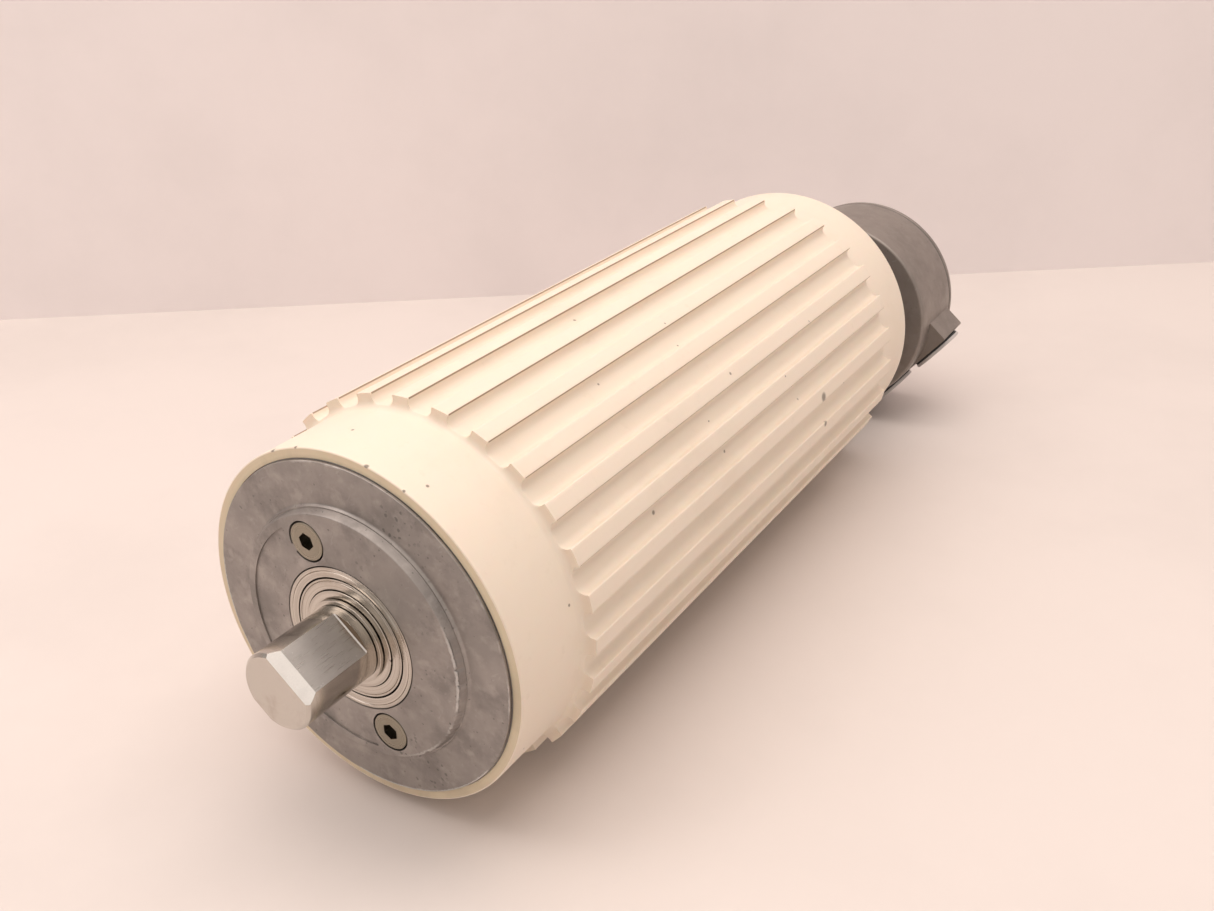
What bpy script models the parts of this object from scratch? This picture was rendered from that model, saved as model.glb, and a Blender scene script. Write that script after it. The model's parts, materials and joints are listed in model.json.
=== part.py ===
"""Drum motor: a driven conveyor roller with its motor and reduction gear inside the drum.

Sizes are in metres and +Z is up. The drum's axis runs along +Y from the centre of the front shaft's
end face, which is the origin. The roller lies on its ribs, and its terminal box leans on a plug's rim.
Everything hangs on an axis empty whose own z runs along the drum, x to the right and y down.
"""

import math

import bmesh
import bpy
from mathutils import Matrix, Vector

MM = 0.001
GAP = 0.3 * MM              # between pieces that touch
RUN = 0.5 * MM              # between pieces that turn against each other
RIBBED = 54                 # facets round the lagging and its tube, two for each rib
FINE = 32                   # facets round the other large turned pieces
COARSE = 20                 # facets round the small ones
SHAFT_STEPS = 28            # facets round the two shafts
TINY = 10                   # facets round screws

# Drum
DRUM_LENGTH = 301.0 * MM
TUBE_RADIUS = 56.65 * MM
TUBE_WALL = 3.3 * MM
SEAT_WALL = 1.65 * MM       # tube wall left where the end housings are pressed in
SEAT_DEPTH = 16.0 * MM
BAND_RADIUS = TUBE_RADIUS + 3.35 * MM   # smooth lagging at both ends
RIB_RADIUS = BAND_RADIUS + 4.6 * MM
GROOVE_RADIUS = BAND_RADIUS + 1.0 * MM
GROOVE_ROUND = 2.6 * MM
RIB_COUNT = 27
RIB_LAND = 6.2 * MM
BAND_WIDTH = 30.5 * MM

# End housings, measured inwards from the lagging's end face
HOUSING_DEPTH = 26.0 * MM
FACE_PROUD = 1.1 * MM
BOSS_PROUD = 4.6 * MM
BOSS_RADIUS = 41.2 * MM
BOSS_DRAFT = 0.6 * MM
HUB_WALL = 5.2 * MM
POCKET_DEPTH = 12.0 * MM
PANEL_INNER = 28.2 * MM     # sunk label field on the front boss, left blank
PANEL_OUTER = 38.6 * MM
PANEL_SINK = 0.5 * MM
PANEL_FROM = 121.5
PANEL_TO = 277.0

# Shaft ends
SHAFT_RADIUS = 12.5 * MM
SHAFT_REACH = 34.0 * MM     # front end face to the lagging's end face
FLAT_MAIN = 10.0 * MM       # shaft axis to the deeper flat
FLAT_BACK = 11.0 * MM       # shaft axis to the shallow flat opposite
FLAT_SHOULDER = 9.5 * MM    # flats' inner end, outwards from the lagging's end face
CHAMFER_RISE = 2.0 * MM
CHAMFER_RUN = 3.7 * MM
COLLAR_RADIUS = 16.3 * MM
CIRCLIP_WIDTH = 1.2 * MM

# Bearings and seals
BEARING_RADIUS = 26.0 * MM
BEARING_WIDTH = 15.0 * MM
BEARING_START = 4.0 * MM    # inwards from the lagging's end face
RACE_WALL = 3.8 * MM
BALL_COUNT = 8
SEAL_RADIUS = 24.0 * MM
SEAL_CASE_WALL = 3.4 * MM
DEFLECTOR_RADIUS = 19.8 * MM

# Oil plugs in the front housing
PLUG_CIRCLE = 32.35 * MM
PLUG_ANGLES = (109.6, -70.4)
OIL_PLUG_RADIUS = 6.25 * MM
OIL_PLUG_HEAD = 4.0 * MM
OIL_THREAD_RADIUS = 4.0 * MM
OIL_PLUG_LENGTH = 14.0 * MM
PLUG_HEX = 5.0 * MM
PLUG_HEX_DEPTH = 3.2 * MM

# Gears: a rotor pinion drives the layshaft, whose pinion drives the ring gear in the drum
MODULE = 1.0 * MM
ROTOR_TEETH = 14
WHEEL_TEETH = 38
PINION_TEETH = 16
RING_TEETH = 68
BACKLASH = 0.25 * MM
GEAR_WIDTH = 8.0 * MM
CARRIER_RADIUS = 50.0 * MM
FLANGE_RADIUS = 31.5 * MM
FLANGE_WIDTH = 6.0 * MM
CARRIER_SCREW_CIRCLE = 21.0 * MM
CARRIER_SCREWS = (-30.0, -90.0, -150.0)
PIN_RADIUS = 3.0 * MM
JOURNAL_RADIUS = 5.0 * MM

# Motor
STATOR_LENGTH = 96.0 * MM
STATOR_RADIUS = 45.7 * MM
STATOR_BORE = 27.0 * MM
STATOR_SLOTS = 24
AIR_GAP = 0.6 * MM
ROTOR_SHAFT_RADIUS = 8.0 * MM
ROTOR_JOURNAL_RADIUS = 6.0 * MM
ROTOR_BEARING_RADIUS = 11.0 * MM
ROTOR_BEARING_WIDTH = 6.0 * MM
COIL_LENGTH = 16.0 * MM
COIL_THICKNESS = 13.0 * MM
CABLE_BORE = 5.0 * MM
LEAD_RADIUS = 26.0 * MM     # the shaft's axis to the leads, where they leave the motor

# Terminal box, in its own frame: y is down its middle and x across it
BOX_GAP = 35.0 * MM         # the lagging's rear end face to the box
BOX_RADIUS = 46.6 * MM
BOX_DROP = 13.8 * MM        # shaft axis to the middle of the round wall
BOX_DEPTH = 39.4 * MM
BOX_WALL = 3.5 * MM
BOX_FRONT = 5.0 * MM
PAD_HALF_WIDTH = 30.0 * MM
PAD_START = 11.0 * MM
PAD_LENGTH = 26.0 * MM
ENTRY_OFFSET = 17.0 * MM
ENTRY_RADIUS = 10.2 * MM
CAP_RADIUS = 13.0 * MM
CAP_HEAD = 2.3 * MM
GASKET_THICKNESS = 0.8 * MM
LID_THICKNESS = 2.6 * MM
LID_SCREW_CIRCLE = BOX_RADIUS - 8.0 * MM
LID_SCREW_RADIUS = 2.0 * MM
NECK_RADIUS = 9.8 * MM
NUT_ACROSS = 28.0 * MM
NUT_WIDTH = 7.0 * MM

# Stations along the axis
FRONT = SHAFT_REACH
REAR = FRONT + DRUM_LENGTH
BOX = REAR + BOX_GAP
BEARING_END = BEARING_START + BEARING_WIDTH
FLANGE = FRONT + BEARING_END + 3.0 * MM
CARRIER = FLANGE + FLANGE_WIDTH + GAP
CARRIER_HUB = 12.0 * MM
CARRIER_WALL = 5.0 * MM
CARRIER_CUP = CARRIER + CARRIER_HUB + CARRIER_WALL
WHEEL = CARRIER_CUP + 3.0 * MM
MOTOR_FLANGE = CARRIER_CUP + GEAR_WIDTH + 10.0 * MM
MOTOR_FLANGE_WIDTH = 6.0 * MM
SLEEVE = MOTOR_FLANGE + MOTOR_FLANGE_WIDTH + GAP
STATOR = SLEEVE + 30.0 * MM
STATOR_END = STATOR + STATOR_LENGTH
SLEEVE_END = STATOR_END + 30.0 * MM
REAR_FLANGE = SLEEVE_END + GAP
LEAD_TURN = REAR_FLANGE + 21.0 * MM

CENTRE_DISTANCE = MODULE * (ROTOR_TEETH + WHEEL_TEETH) / 2
PITCH_ANGLE = 360.0 / RIB_COUNT
LAND_HALF_ANGLE = math.degrees(math.atan(RIB_LAND / 2 / RIB_RADIUS))
TABLE_DROP = RIB_RADIUS / math.cos(math.radians(LAND_HALF_ANGLE)) * math.cos(
    math.radians(PITCH_ANGLE / 2 - LAND_HALF_ANGLE))


def box_lean():
    """Degrees below the horizontal at which the box's underside faces, with a cap's rim on the table."""
    face = BOX_DROP + BOX_RADIUS + GAP + CAP_HEAD
    edge = ENTRY_OFFSET + CAP_RADIUS
    reach = math.hypot(face, edge)
    return math.degrees(math.asin(min(1.0, TABLE_DROP / reach)) - math.atan2(edge, face))


# ---------------------------------------------------------------------------- scene and materials

for old in list(bpy.data.objects):
    bpy.data.objects.remove(old)

parts = bpy.data.collections.new("drum_motor")
cutters = bpy.data.collections.new("cutters")
bpy.context.scene.collection.children.link(parts)
bpy.context.scene.collection.children.link(cutters)


def finish(name, colour, roughness, metallic=0.0):
    """A Principled material."""
    material = bpy.data.materials.new(name)
    material.use_nodes = True
    shader = material.node_tree.nodes["Principled BSDF"]
    shader.inputs["Base Color"].default_value = (*colour, 1.0)
    shader.inputs["Roughness"].default_value = roughness
    shader.inputs["Metallic"].default_value = metallic
    return material


LAGGING = finish("cream_lagging", (0.86, 0.78, 0.66), 0.55)
STAINLESS = finish("stainless_steel", (0.60, 0.58, 0.55), 0.28, 1.0)
CAST = finish("cast_aluminium", (0.46, 0.45, 0.44), 0.45, 1.0)
STEEL = finish("machined_steel", (0.50, 0.49, 0.48), 0.32, 1.0)
GEAR_STEEL = finish("gear_steel", (0.36, 0.35, 0.34), 0.35, 1.0)
LAMINATION = finish("lamination_steel", (0.28, 0.28, 0.30), 0.45, 1.0)
COPPER = finish("enamelled_copper", (0.48, 0.20, 0.09), 0.35, 0.8)
RUBBER = finish("black_rubber", (0.03, 0.03, 0.03), 0.70)
PLASTIC = finish("grey_plastic", (0.62, 0.62, 0.60), 0.50)
BRASS = finish("brass", (0.68, 0.50, 0.22), 0.30, 1.0)


def empty(name, parent=None, location=(0, 0, 0), rotation=(0, 0, 0)):
    """A frame that pieces hang on."""
    frame = bpy.data.objects.new(name, None)
    frame.location = location
    frame.rotation_euler = rotation
    frame.parent = parent
    parts.objects.link(frame)
    return frame


axis = empty("drum_axis", rotation=(-math.pi / 2, 0, 0))
layshaft_axis = empty("layshaft_axis", axis, (0, -CENTRE_DISTANCE, 0))
box_axis = empty("box_axis", axis, rotation=(0, 0, math.radians(box_lean() - 90.0)))
box_centre = empty("box_centre", box_axis, (0, BOX_DROP, BOX))


# ---------------------------------------------------------------------------- shape helpers

def put(name, data, material, parent, location=(0, 0, 0), turn=0.0):
    """A named piece, or a cutter where no material is given."""
    piece = bpy.data.objects.new(name, data)
    piece.parent = parent
    piece.location = location
    piece.rotation_euler = (0, 0, turn)
    if material is None:
        cutters.objects.link(piece)
        piece.hide_render = True
        piece.display_type = "WIRE"
    else:
        data.materials.append(material)
        parts.objects.link(piece)
    return piece


def area(outline):
    """Signed area of a closed outline."""
    pairs = zip(outline, outline[1:] + outline[:1])
    return sum(a[0] * b[1] - b[0] * a[1] for a, b in pairs) / 2


def turned(name, outline, material, parent=axis, steps=COARSE, location=(0, 0, 0)):
    """A solid turned about the parent's z from an outline of (radius, z) points."""
    if area(outline) > 0:
        outline = outline[::-1]
    on_axis = [i for i, point in enumerate(outline) if point[0] == 0]
    if on_axis:
        first = next(i for i in on_axis if outline[i - 1][0] == 0)
        outline = outline[first:] + outline[:first]
    mesh = bpy.data.meshes.new(name)
    count = len(outline)
    edges = [(i, i + 1) for i in range(count - 1)]
    if not on_axis:
        edges.append((count - 1, 0))
    mesh.from_pydata([(radius, 0, z) for radius, z in outline], edges, [])
    piece = put(name, mesh, material, parent, location)
    screw = piece.modifiers.new("turn", "SCREW")
    screw.axis = "Z"
    screw.steps = screw.render_steps = steps
    screw.use_merge_vertices = True
    screw.merge_threshold = 0.00001
    return piece


def ring(name, inner, outer, z0, z1, material, parent=axis, steps=COARSE):
    """A plain ring or, with no inner radius, a disc."""
    return turned(name, [(inner, z0), (outer, z0), (outer, z1), (inner, z1)], material, parent, steps)


def plate(name, outlines, z0, z1, material, parent=axis, location=(0, 0, 0), turn=0.0):
    """A flat outline, with its holes, given a thickness from z0 to z1."""
    curve = bpy.data.curves.new(name, "CURVE")
    curve.dimensions = "2D"
    curve.fill_mode = "BOTH"
    curve.extrude = (z1 - z0) / 2
    for outline in outlines:
        spline = curve.splines.new("POLY")
        spline.points.add(len(outline) - 1)
        spline.use_cyclic_u = True
        for point, (x, y) in zip(spline.points, outline):
            point.co = (x, y, 0, 1)
    drawn = bpy.data.objects.new(name + "_outline", curve)
    parts.objects.link(drawn)
    graph = bpy.context.evaluated_depsgraph_get()
    mesh = bpy.data.meshes.new_from_object(drawn.evaluated_get(graph))
    bpy.data.objects.remove(drawn)
    shape = bmesh.new()
    shape.from_mesh(mesh)
    bmesh.ops.remove_doubles(shape, verts=shape.verts, dist=0.000001)
    bmesh.ops.translate(shape, verts=shape.verts, vec=(0, 0, (z0 + z1) / 2))
    bmesh.ops.recalc_face_normals(shape, faces=shape.faces)
    shape.to_mesh(mesh)
    shape.free()
    mesh.materials.clear()
    return put(name, mesh, material, parent, location, turn)


def block(name, size, centre, material, parent, turn=0.0):
    """A box given by its size and centre."""
    mesh = bpy.data.meshes.new(name)
    shape = bmesh.new()
    bmesh.ops.create_cube(shape, size=1.0, matrix=Matrix.Diagonal((*size, 1.0)))
    shape.to_mesh(mesh)
    shape.free()
    return put(name, mesh, material, parent, centre, turn)


def cut(piece, cutter, operation="DIFFERENCE"):
    """A Boolean that stays on the piece."""
    boolean = piece.modifiers.new(cutter.name, "BOOLEAN")
    boolean.operation = operation
    boolean.object = cutter
    boolean.solver = "EXACT"


def bore(piece, stages, place=(0, 0), parent=axis, steps=COARSE):
    """A round hole along the parent's z, given as stages of (radius, z where it begins, z where it ends)."""
    outline = [(0, stages[0][1])]
    for radius, z0, z1 in stages:
        outline += [(radius, z0), (radius, z1)]
    outline.append((0, stages[-1][2]))
    name = f"{piece.name}_bore_{len(piece.modifiers)}"
    cut(piece, turned(name, outline, None, parent, steps, (*place, 0)))


def circle(radius, steps=COARSE, centre=(0, 0)):
    """Points round a circle."""
    angles = [math.tau * i / steps for i in range(steps)]
    return [(centre[0] + radius * math.cos(a), centre[1] + radius * math.sin(a)) for a in angles]


def around(radius, degrees):
    """A place in the axis frame at an angle counted from world +X towards world +Z."""
    angle = math.radians(degrees)
    return (radius * math.cos(angle), -radius * math.sin(angle))


# ---------------------------------------------------------------------------- drum

def lagging():
    """The rubber cover: smooth bands at its ends and ribs along it, cut by round-bottomed grooves."""
    facet = math.cos(math.pi / (2 * RIB_COUNT))
    inner = (TUBE_RADIUS + GAP) / facet
    first, last = FRONT + BAND_WIDTH, REAR - BAND_WIDTH
    cover = turned("lagging", [
        (inner, FRONT), (BAND_RADIUS, FRONT), (BAND_RADIUS, first), (RIB_RADIUS / facet, first),
        (RIB_RADIUS / facet, last), (BAND_RADIUS, last), (BAND_RADIUS, REAR), (inner, REAR)],
        LAGGING, steps=RIBBED)
    half = RIB_RADIUS * math.tan(math.radians(PITCH_ANGLE / 2)) - RIB_LAND / 2
    floor = half - GROOVE_ROUND
    rounds = [math.radians(90.0 * i / 3) for i in range(4)]
    side = [(floor + GROOVE_ROUND * math.sin(a), GROOVE_RADIUS + GROOVE_ROUND * (1 - math.cos(a)))
            for a in rounds]
    profile = side + [(half, RIB_RADIUS + 2 * MM)]
    profile += [(-x, y) for x, y in reversed(profile)]
    grooves = []
    for i in range(RIB_COUNT):
        angle = math.radians(PITCH_ANGLE * i)
        turn = [(x * math.cos(angle) - y * math.sin(angle), x * math.sin(angle) + y * math.cos(angle))
                for x, y in profile]
        grooves.append(turn)
    tool = plate("grooves", grooves, first - 2 * MM, last + 2 * MM, None)
    cut(cover, tool)


def drum_tube():
    """The steel shell, bored out at both ends for the end housings."""
    bore_radius = TUBE_RADIUS - TUBE_WALL
    seat = TUBE_RADIUS - SEAT_WALL
    turned("drum_tube", [
        (seat, FRONT), (TUBE_RADIUS, FRONT), (TUBE_RADIUS, REAR), (seat, REAR),
        (seat, REAR - SEAT_DEPTH), (bore_radius, REAR - SEAT_DEPTH),
        (bore_radius, FRONT + SEAT_DEPTH), (seat, FRONT + SEAT_DEPTH)], STAINLESS, steps=RIBBED)


def inwards(end, sense):
    """A function that turns a depth inside the drum's end into a place on the axis."""
    return lambda depth: end + sense * depth


def end_housing(name, end, sense):
    """A cast end cap: a flange pressed into the tube, a raised boss and a hub for the bearing."""
    at = inwards(end, sense)
    seat = TUBE_RADIUS - SEAT_WALL - GAP
    spigot = TUBE_RADIUS - TUBE_WALL - GAP
    hub_bore = BEARING_RADIUS + GAP
    hub = hub_bore + HUB_WALL
    pocket = spigot - 6.75 * MM
    outline = [
        (SEAL_RADIUS + GAP, -BOSS_PROUD), (BOSS_RADIUS, -BOSS_PROUD),
        (BOSS_RADIUS + BOSS_DRAFT, -FACE_PROUD), (seat - 0.8 * MM, -FACE_PROUD),
        (seat, -FACE_PROUD + 0.8 * MM), (seat, SEAT_DEPTH - GAP), (spigot, SEAT_DEPTH - GAP),
        (spigot, HOUSING_DEPTH), (pocket, HOUSING_DEPTH), (pocket, POCKET_DEPTH),
        (hub, POCKET_DEPTH), (hub, BEARING_END + 0.5 * MM), (hub_bore, BEARING_END + 0.5 * MM),
        (hub_bore, BEARING_START - GAP), (SEAL_RADIUS + GAP, BEARING_START - GAP)]
    return turned(name, [(r, at(d)) for r, d in outline], CAST, steps=FINE)


def label_field(housing):
    """The shallow sunk field on the front boss, a crescent between the two plugs."""
    steps = 14
    sweep = [PANEL_FROM + (PANEL_TO - PANEL_FROM) * i / steps for i in range(steps + 1)]
    outline = [around(PANEL_OUTER, a) for a in sweep]
    outline += [around(PANEL_INNER, a) for a in reversed(sweep)]
    face = FRONT - BOSS_PROUD
    cut(housing, plate("label_field", [outline], face - 2 * MM, face + PANEL_SINK, None))


def oil_plug(housing, number, angle):
    """A flush plug with a hex socket, its sealing washer, and their stepped hole."""
    place = around(PLUG_CIRCLE, angle)
    face = FRONT - BOSS_PROUD
    seat = face + OIL_PLUG_HEAD
    washer = seat + GAP
    hole = washer + 1.0 * MM + GAP
    bore(housing, [(OIL_PLUG_RADIUS + 0.35 * MM, face - 2 * MM, hole),
                   (OIL_THREAD_RADIUS + GAP, hole, FRONT + POCKET_DEPTH + 2 * MM)], place)
    body = [(0, face), (OIL_PLUG_RADIUS, face), (OIL_PLUG_RADIUS, seat), (OIL_THREAD_RADIUS, seat),
            (OIL_THREAD_RADIUS, face + OIL_PLUG_LENGTH), (0, face + OIL_PLUG_LENGTH)]
    plug = turned(f"oil_plug_{number}", body, STEEL, location=(*place, 0))
    hexagon = circle(PLUG_HEX / math.sqrt(3), 6)
    cut(plug, plate(f"oil_plug_{number}_socket", [hexagon], face - 2 * MM, face + PLUG_HEX_DEPTH,
                    None, location=(*place, 0), turn=math.radians(17.0 * number)))
    turned(f"oil_plug_washer_{number}", [
        (OIL_THREAD_RADIUS + GAP, washer), (OIL_PLUG_RADIUS, washer),
        (OIL_PLUG_RADIUS, washer + 1.0 * MM), (OIL_THREAD_RADIUS + GAP, washer + 1.0 * MM)],
        COPPER, location=(*place, 0))


def drum_seals(name, end, sense):
    """The steel seal case and the rubber lip seal that turn with a housing."""
    at = inwards(end, sense)
    inner = SEAL_RADIUS - SEAL_CASE_WALL
    case = [(inner, -BOSS_PROUD), (SEAL_RADIUS, -BOSS_PROUD), (SEAL_RADIUS, -0.2 * MM),
            (inner, -0.2 * MM)]
    turned(f"{name}_seal_case", [(r, at(d)) for r, d in case], STAINLESS, steps=FINE)
    lip = [(SHAFT_RADIUS + RUN, 0.4 * MM), (SEAL_RADIUS, 0.4 * MM),
           (SEAL_RADIUS, BEARING_START - 2 * GAP), (SHAFT_RADIUS + RUN, BEARING_START - 2 * GAP)]
    turned(f"{name}_lip_seal", [(r, at(d)) for r, d in lip], RUBBER)


def shaft_rings(name, end, sense):
    """The collar, deflector ring and circlip that stay with a shaft, outside the seals."""
    at = inwards(end, sense)
    inner = SHAFT_RADIUS + GAP
    face = -BOSS_PROUD - 0.2 * MM
    lip = -1.0 * MM
    collar = [(inner, face), (COLLAR_RADIUS, face), (COLLAR_RADIUS, lip), (DEFLECTOR_RADIUS, lip),
              (DEFLECTOR_RADIUS, -0.2 * MM), (inner, -0.2 * MM)]
    turned(f"{name}_collar", [(r, at(d)) for r, d in collar], STAINLESS, steps=FINE)
    ring(f"{name}_deflector", COLLAR_RADIUS + GAP, DEFLECTOR_RADIUS,
         *sorted((at(face + 0.4 * MM), at(lip - GAP))), STAINLESS, steps=FINE)
    clip = ring(f"{name}_circlip", SHAFT_RADIUS - 0.6 * MM, SHAFT_RADIUS + 1.4 * MM,
                *sorted((at(face - GAP), at(face - GAP - CIRCLIP_WIDTH))), STEEL, steps=SHAFT_STEPS)
    cut(clip, block(f"{name}_circlip_mouth", (5 * MM, 6 * MM, 8 * MM), (0, SHAFT_RADIUS, at(face)),
                    None, box_axis))


def ball_bearing(name, end, sense):
    """Outer and inner races, and the balls in their cage."""
    at = inwards(end, sense)
    z0, z1 = sorted((at(BEARING_START), at(BEARING_END)))
    inner, outer = SHAFT_RADIUS + GAP, BEARING_RADIUS
    ring(f"{name}_bearing_inner_race", inner, inner + RACE_WALL, z0, z1, STEEL)
    ring(f"{name}_bearing_outer_race", outer - RACE_WALL, outer, z0, z1, STEEL)
    pitch = (inner + outer) / 2
    radius = (outer - inner) / 2 - RACE_WALL - RUN
    middle = (z0 + z1) / 2
    cage = ring(f"{name}_bearing_cage", pitch - 0.7 * MM, pitch + 0.7 * MM,
                middle - 1.2 * MM, middle + 1.2 * MM, BRASS)
    mesh = bpy.data.meshes.new(f"{name}_balls")
    shape = bmesh.new()
    for i in range(BALL_COUNT):
        angle = math.tau * i / BALL_COUNT
        centre = Vector((pitch * math.cos(angle), pitch * math.sin(angle), middle))
        bmesh.ops.create_uvsphere(shape, u_segments=6, v_segments=5, radius=radius,
                                  matrix=Matrix.Translation(centre))
    shape.to_mesh(mesh)
    shape.free()
    cut(cage, put(f"{name}_balls", mesh, None, axis), "UNION")


# ---------------------------------------------------------------------------- gears

def involute(angle):
    return math.tan(angle) - angle


def teeth(count, inner, outer, backlash, centre_angle):
    """A toothed outline with straight flanks, and a tooth centred at an angle in degrees."""
    pitch_radius = MODULE * count / 2
    pressure = math.radians(20.0)
    base = pitch_radius * math.cos(pressure)
    half_pitch = (math.pi * MODULE / 2 - backlash) / 2 / pitch_radius

    def half_angle(radius):
        flank = math.acos(min(1.0, base / radius))
        return half_pitch + involute(pressure) - involute(flank)

    points = []
    for i in range(count):
        middle = math.radians(centre_angle) + math.tau * i / count
        for radius, side in ((inner, -1), (outer, -1), (outer, 1), (inner, 1)):
            angle = middle + side * half_angle(radius)
            points.append((radius * math.cos(angle), radius * math.sin(angle)))
    return points


def gear(name, count, z0, z1, bore_radius, centre_angle, material, parent):
    """An external gear with a round bore, or solid without one."""
    pitch_radius = MODULE * count / 2
    outline = teeth(count, pitch_radius - 1.15 * MODULE, pitch_radius + 0.85 * MODULE,
                    BACKLASH, centre_angle)
    outlines = [outline]
    if bore_radius:
        outlines.append(circle(bore_radius, 16))
    return plate(name, outlines, z0, z1, material, parent)


def ring_gear():
    """The internal gear pressed into the front housing's pocket."""
    pitch_radius = MODULE * RING_TEETH / 2
    outer = TUBE_RADIUS - TUBE_WALL - GAP - 6.75 * MM - GAP
    spaces = teeth(RING_TEETH, pitch_radius - 0.8 * MODULE, pitch_radius + 1.15 * MODULE,
                   -BACKLASH, -90.0)
    plate("ring_gear", [circle(outer, FINE), spaces], FRONT + POCKET_DEPTH + GAP,
          CARRIER + CARRIER_HUB - 2.5 * MM, GEAR_STEEL)


def gear_carrier():
    """The fixed gear case: a hub inside the ring gear, a wall and a cup that faces the motor."""
    hub_end = CARRIER + CARRIER_HUB
    case = turned("gear_carrier", [
        (0, CARRIER), (FLANGE_RADIUS, CARRIER), (FLANGE_RADIUS, hub_end), (CARRIER_RADIUS, hub_end),
        (CARRIER_RADIUS, MOTOR_FLANGE - GAP), (CARRIER_RADIUS - 3 * MM, MOTOR_FLANGE - GAP),
        (CARRIER_RADIUS - 3 * MM, CARRIER_CUP), (0, CARRIER_CUP)], CAST, steps=FINE)
    pinion_room = MODULE * (PINION_TEETH / 2 + 0.85) + RUN + 0.5 * MM
    bore(case, [(pinion_room, CARRIER - 2 * MM, hub_end + 0.8 * MM),
                (JOURNAL_RADIUS + RUN, hub_end + 0.8 * MM, CARRIER_CUP + 2 * MM)], parent=layshaft_axis)
    for angle in CARRIER_SCREWS:
        place = around(CARRIER_SCREW_CIRCLE, angle)
        bore(case, [(2.5 * MM, CARRIER - 2 * MM, CARRIER + 9 * MM)], place, steps=TINY)


def layshaft():
    """The layshaft with its pinion in one piece, and the wheel fixed on it."""
    pinion_z = CARRIER + 1.5 * MM
    end = MOTOR_FLANGE + 3.5 * MM
    shaft = turned("layshaft", [
        (0, FLANGE + 1.5 * MM), (PIN_RADIUS, FLANGE + 1.5 * MM), (PIN_RADIUS, pinion_z + 1 * MM),
        (JOURNAL_RADIUS, pinion_z + 1 * MM), (JOURNAL_RADIUS, WHEEL + GEAR_WIDTH + 1 * MM),
        (PIN_RADIUS, WHEEL + GEAR_WIDTH + 1 * MM), (PIN_RADIUS, end), (0, end)],
        GEAR_STEEL, layshaft_axis, 16)
    pinion = gear("layshaft_pinion_teeth", PINION_TEETH, pinion_z, pinion_z + GEAR_WIDTH, 0, -90.0,
                  None, layshaft_axis)
    cut(shaft, pinion, "UNION")
    space = 90.0 + 180.0 / WHEEL_TEETH
    gear("layshaft_wheel", WHEEL_TEETH, WHEEL, WHEEL + GEAR_WIDTH, JOURNAL_RADIUS + GAP, space,
         GEAR_STEEL, layshaft_axis)


# ---------------------------------------------------------------------------- shafts and motor

def cut_flats(shaft, start, end):
    """Two parallel flats from start to end, the back one shallower."""
    length = end - start
    width = 4 * SHAFT_RADIUS
    middle = (start + end) / 2
    for label, offset in (("main", FLAT_MAIN), ("back", -FLAT_BACK)):
        side = math.copysign(1.0, offset)
        centre = (offset + side * SHAFT_RADIUS, 0, middle)
        size = (2 * SHAFT_RADIUS, width, length)
        cut(shaft, block(f"{shaft.name}_{label}_flat", size, centre, None, box_axis))


def front_shaft():
    """The front stub: the end with two flats, the bearing seat and the flange that carries the gears."""
    nose = 0.7 * MM
    groove = SHAFT_RADIUS - 0.9 * MM
    clip_end = FRONT - BOSS_PROUD - 0.2 * MM
    clip_start = clip_end - CIRCLIP_WIDTH - 2 * GAP
    shoulder = SHAFT_RADIUS + 4.0 * MM
    step = FRONT + BEARING_END + GAP
    shaft = turned("front_shaft", [
        (0, 0), (SHAFT_RADIUS - nose, 0), (SHAFT_RADIUS, nose), (SHAFT_RADIUS, clip_start),
        (groove, clip_start), (groove, clip_end), (SHAFT_RADIUS, clip_end), (SHAFT_RADIUS, step),
        (shoulder, step), (shoulder, FLANGE), (FLANGE_RADIUS, FLANGE),
        (FLANGE_RADIUS, FLANGE + FLANGE_WIDTH), (0, FLANGE + FLANGE_WIDTH)], STEEL,
        steps=SHAFT_STEPS)
    cut_flats(shaft, -5 * MM, FRONT - FLAT_SHOULDER)
    wedge = plate("front_shaft_chamfer", [[
        (FLAT_MAIN - CHAMFER_RISE, 0), (FLAT_MAIN - 2 * CHAMFER_RISE, -CHAMFER_RUN),
        (FLAT_MAIN + 2 * CHAMFER_RISE, -CHAMFER_RUN), (FLAT_MAIN + 2 * CHAMFER_RISE, 3 * CHAMFER_RUN),
        (FLAT_MAIN + CHAMFER_RISE, 2 * CHAMFER_RUN)]], -SHAFT_RADIUS, SHAFT_RADIUS, None, box_axis)
    wedge.rotation_euler = (math.pi / 2, 0, 0)
    cut(shaft, wedge)
    far = FLANGE + FLANGE_WIDTH + 2 * MM
    bore(shaft, [(PIN_RADIUS + RUN, FLANGE + 1 * MM, far)], parent=layshaft_axis, steps=16)
    for number, angle in enumerate(CARRIER_SCREWS, start=1):
        place = around(CARRIER_SCREW_CIRCLE, angle)
        bore(shaft, [(3.9 * MM, FLANGE - 2 * MM, FLANGE + 3.2 * MM), (2.5 * MM, FLANGE + 3.2 * MM, far)],
             place, steps=TINY)
        turned(f"carrier_screw_{number}", [
            (0, FLANGE + 0.2 * MM), (3.6 * MM, FLANGE + 0.2 * MM), (3.6 * MM, FLANGE + 2.9 * MM),
            (2.2 * MM, FLANGE + 2.9 * MM), (2.2 * MM, CARRIER + 8.5 * MM), (0, CARRIER + 8.5 * MM)],
            STEEL, steps=TINY, location=(*place, 0))


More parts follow.
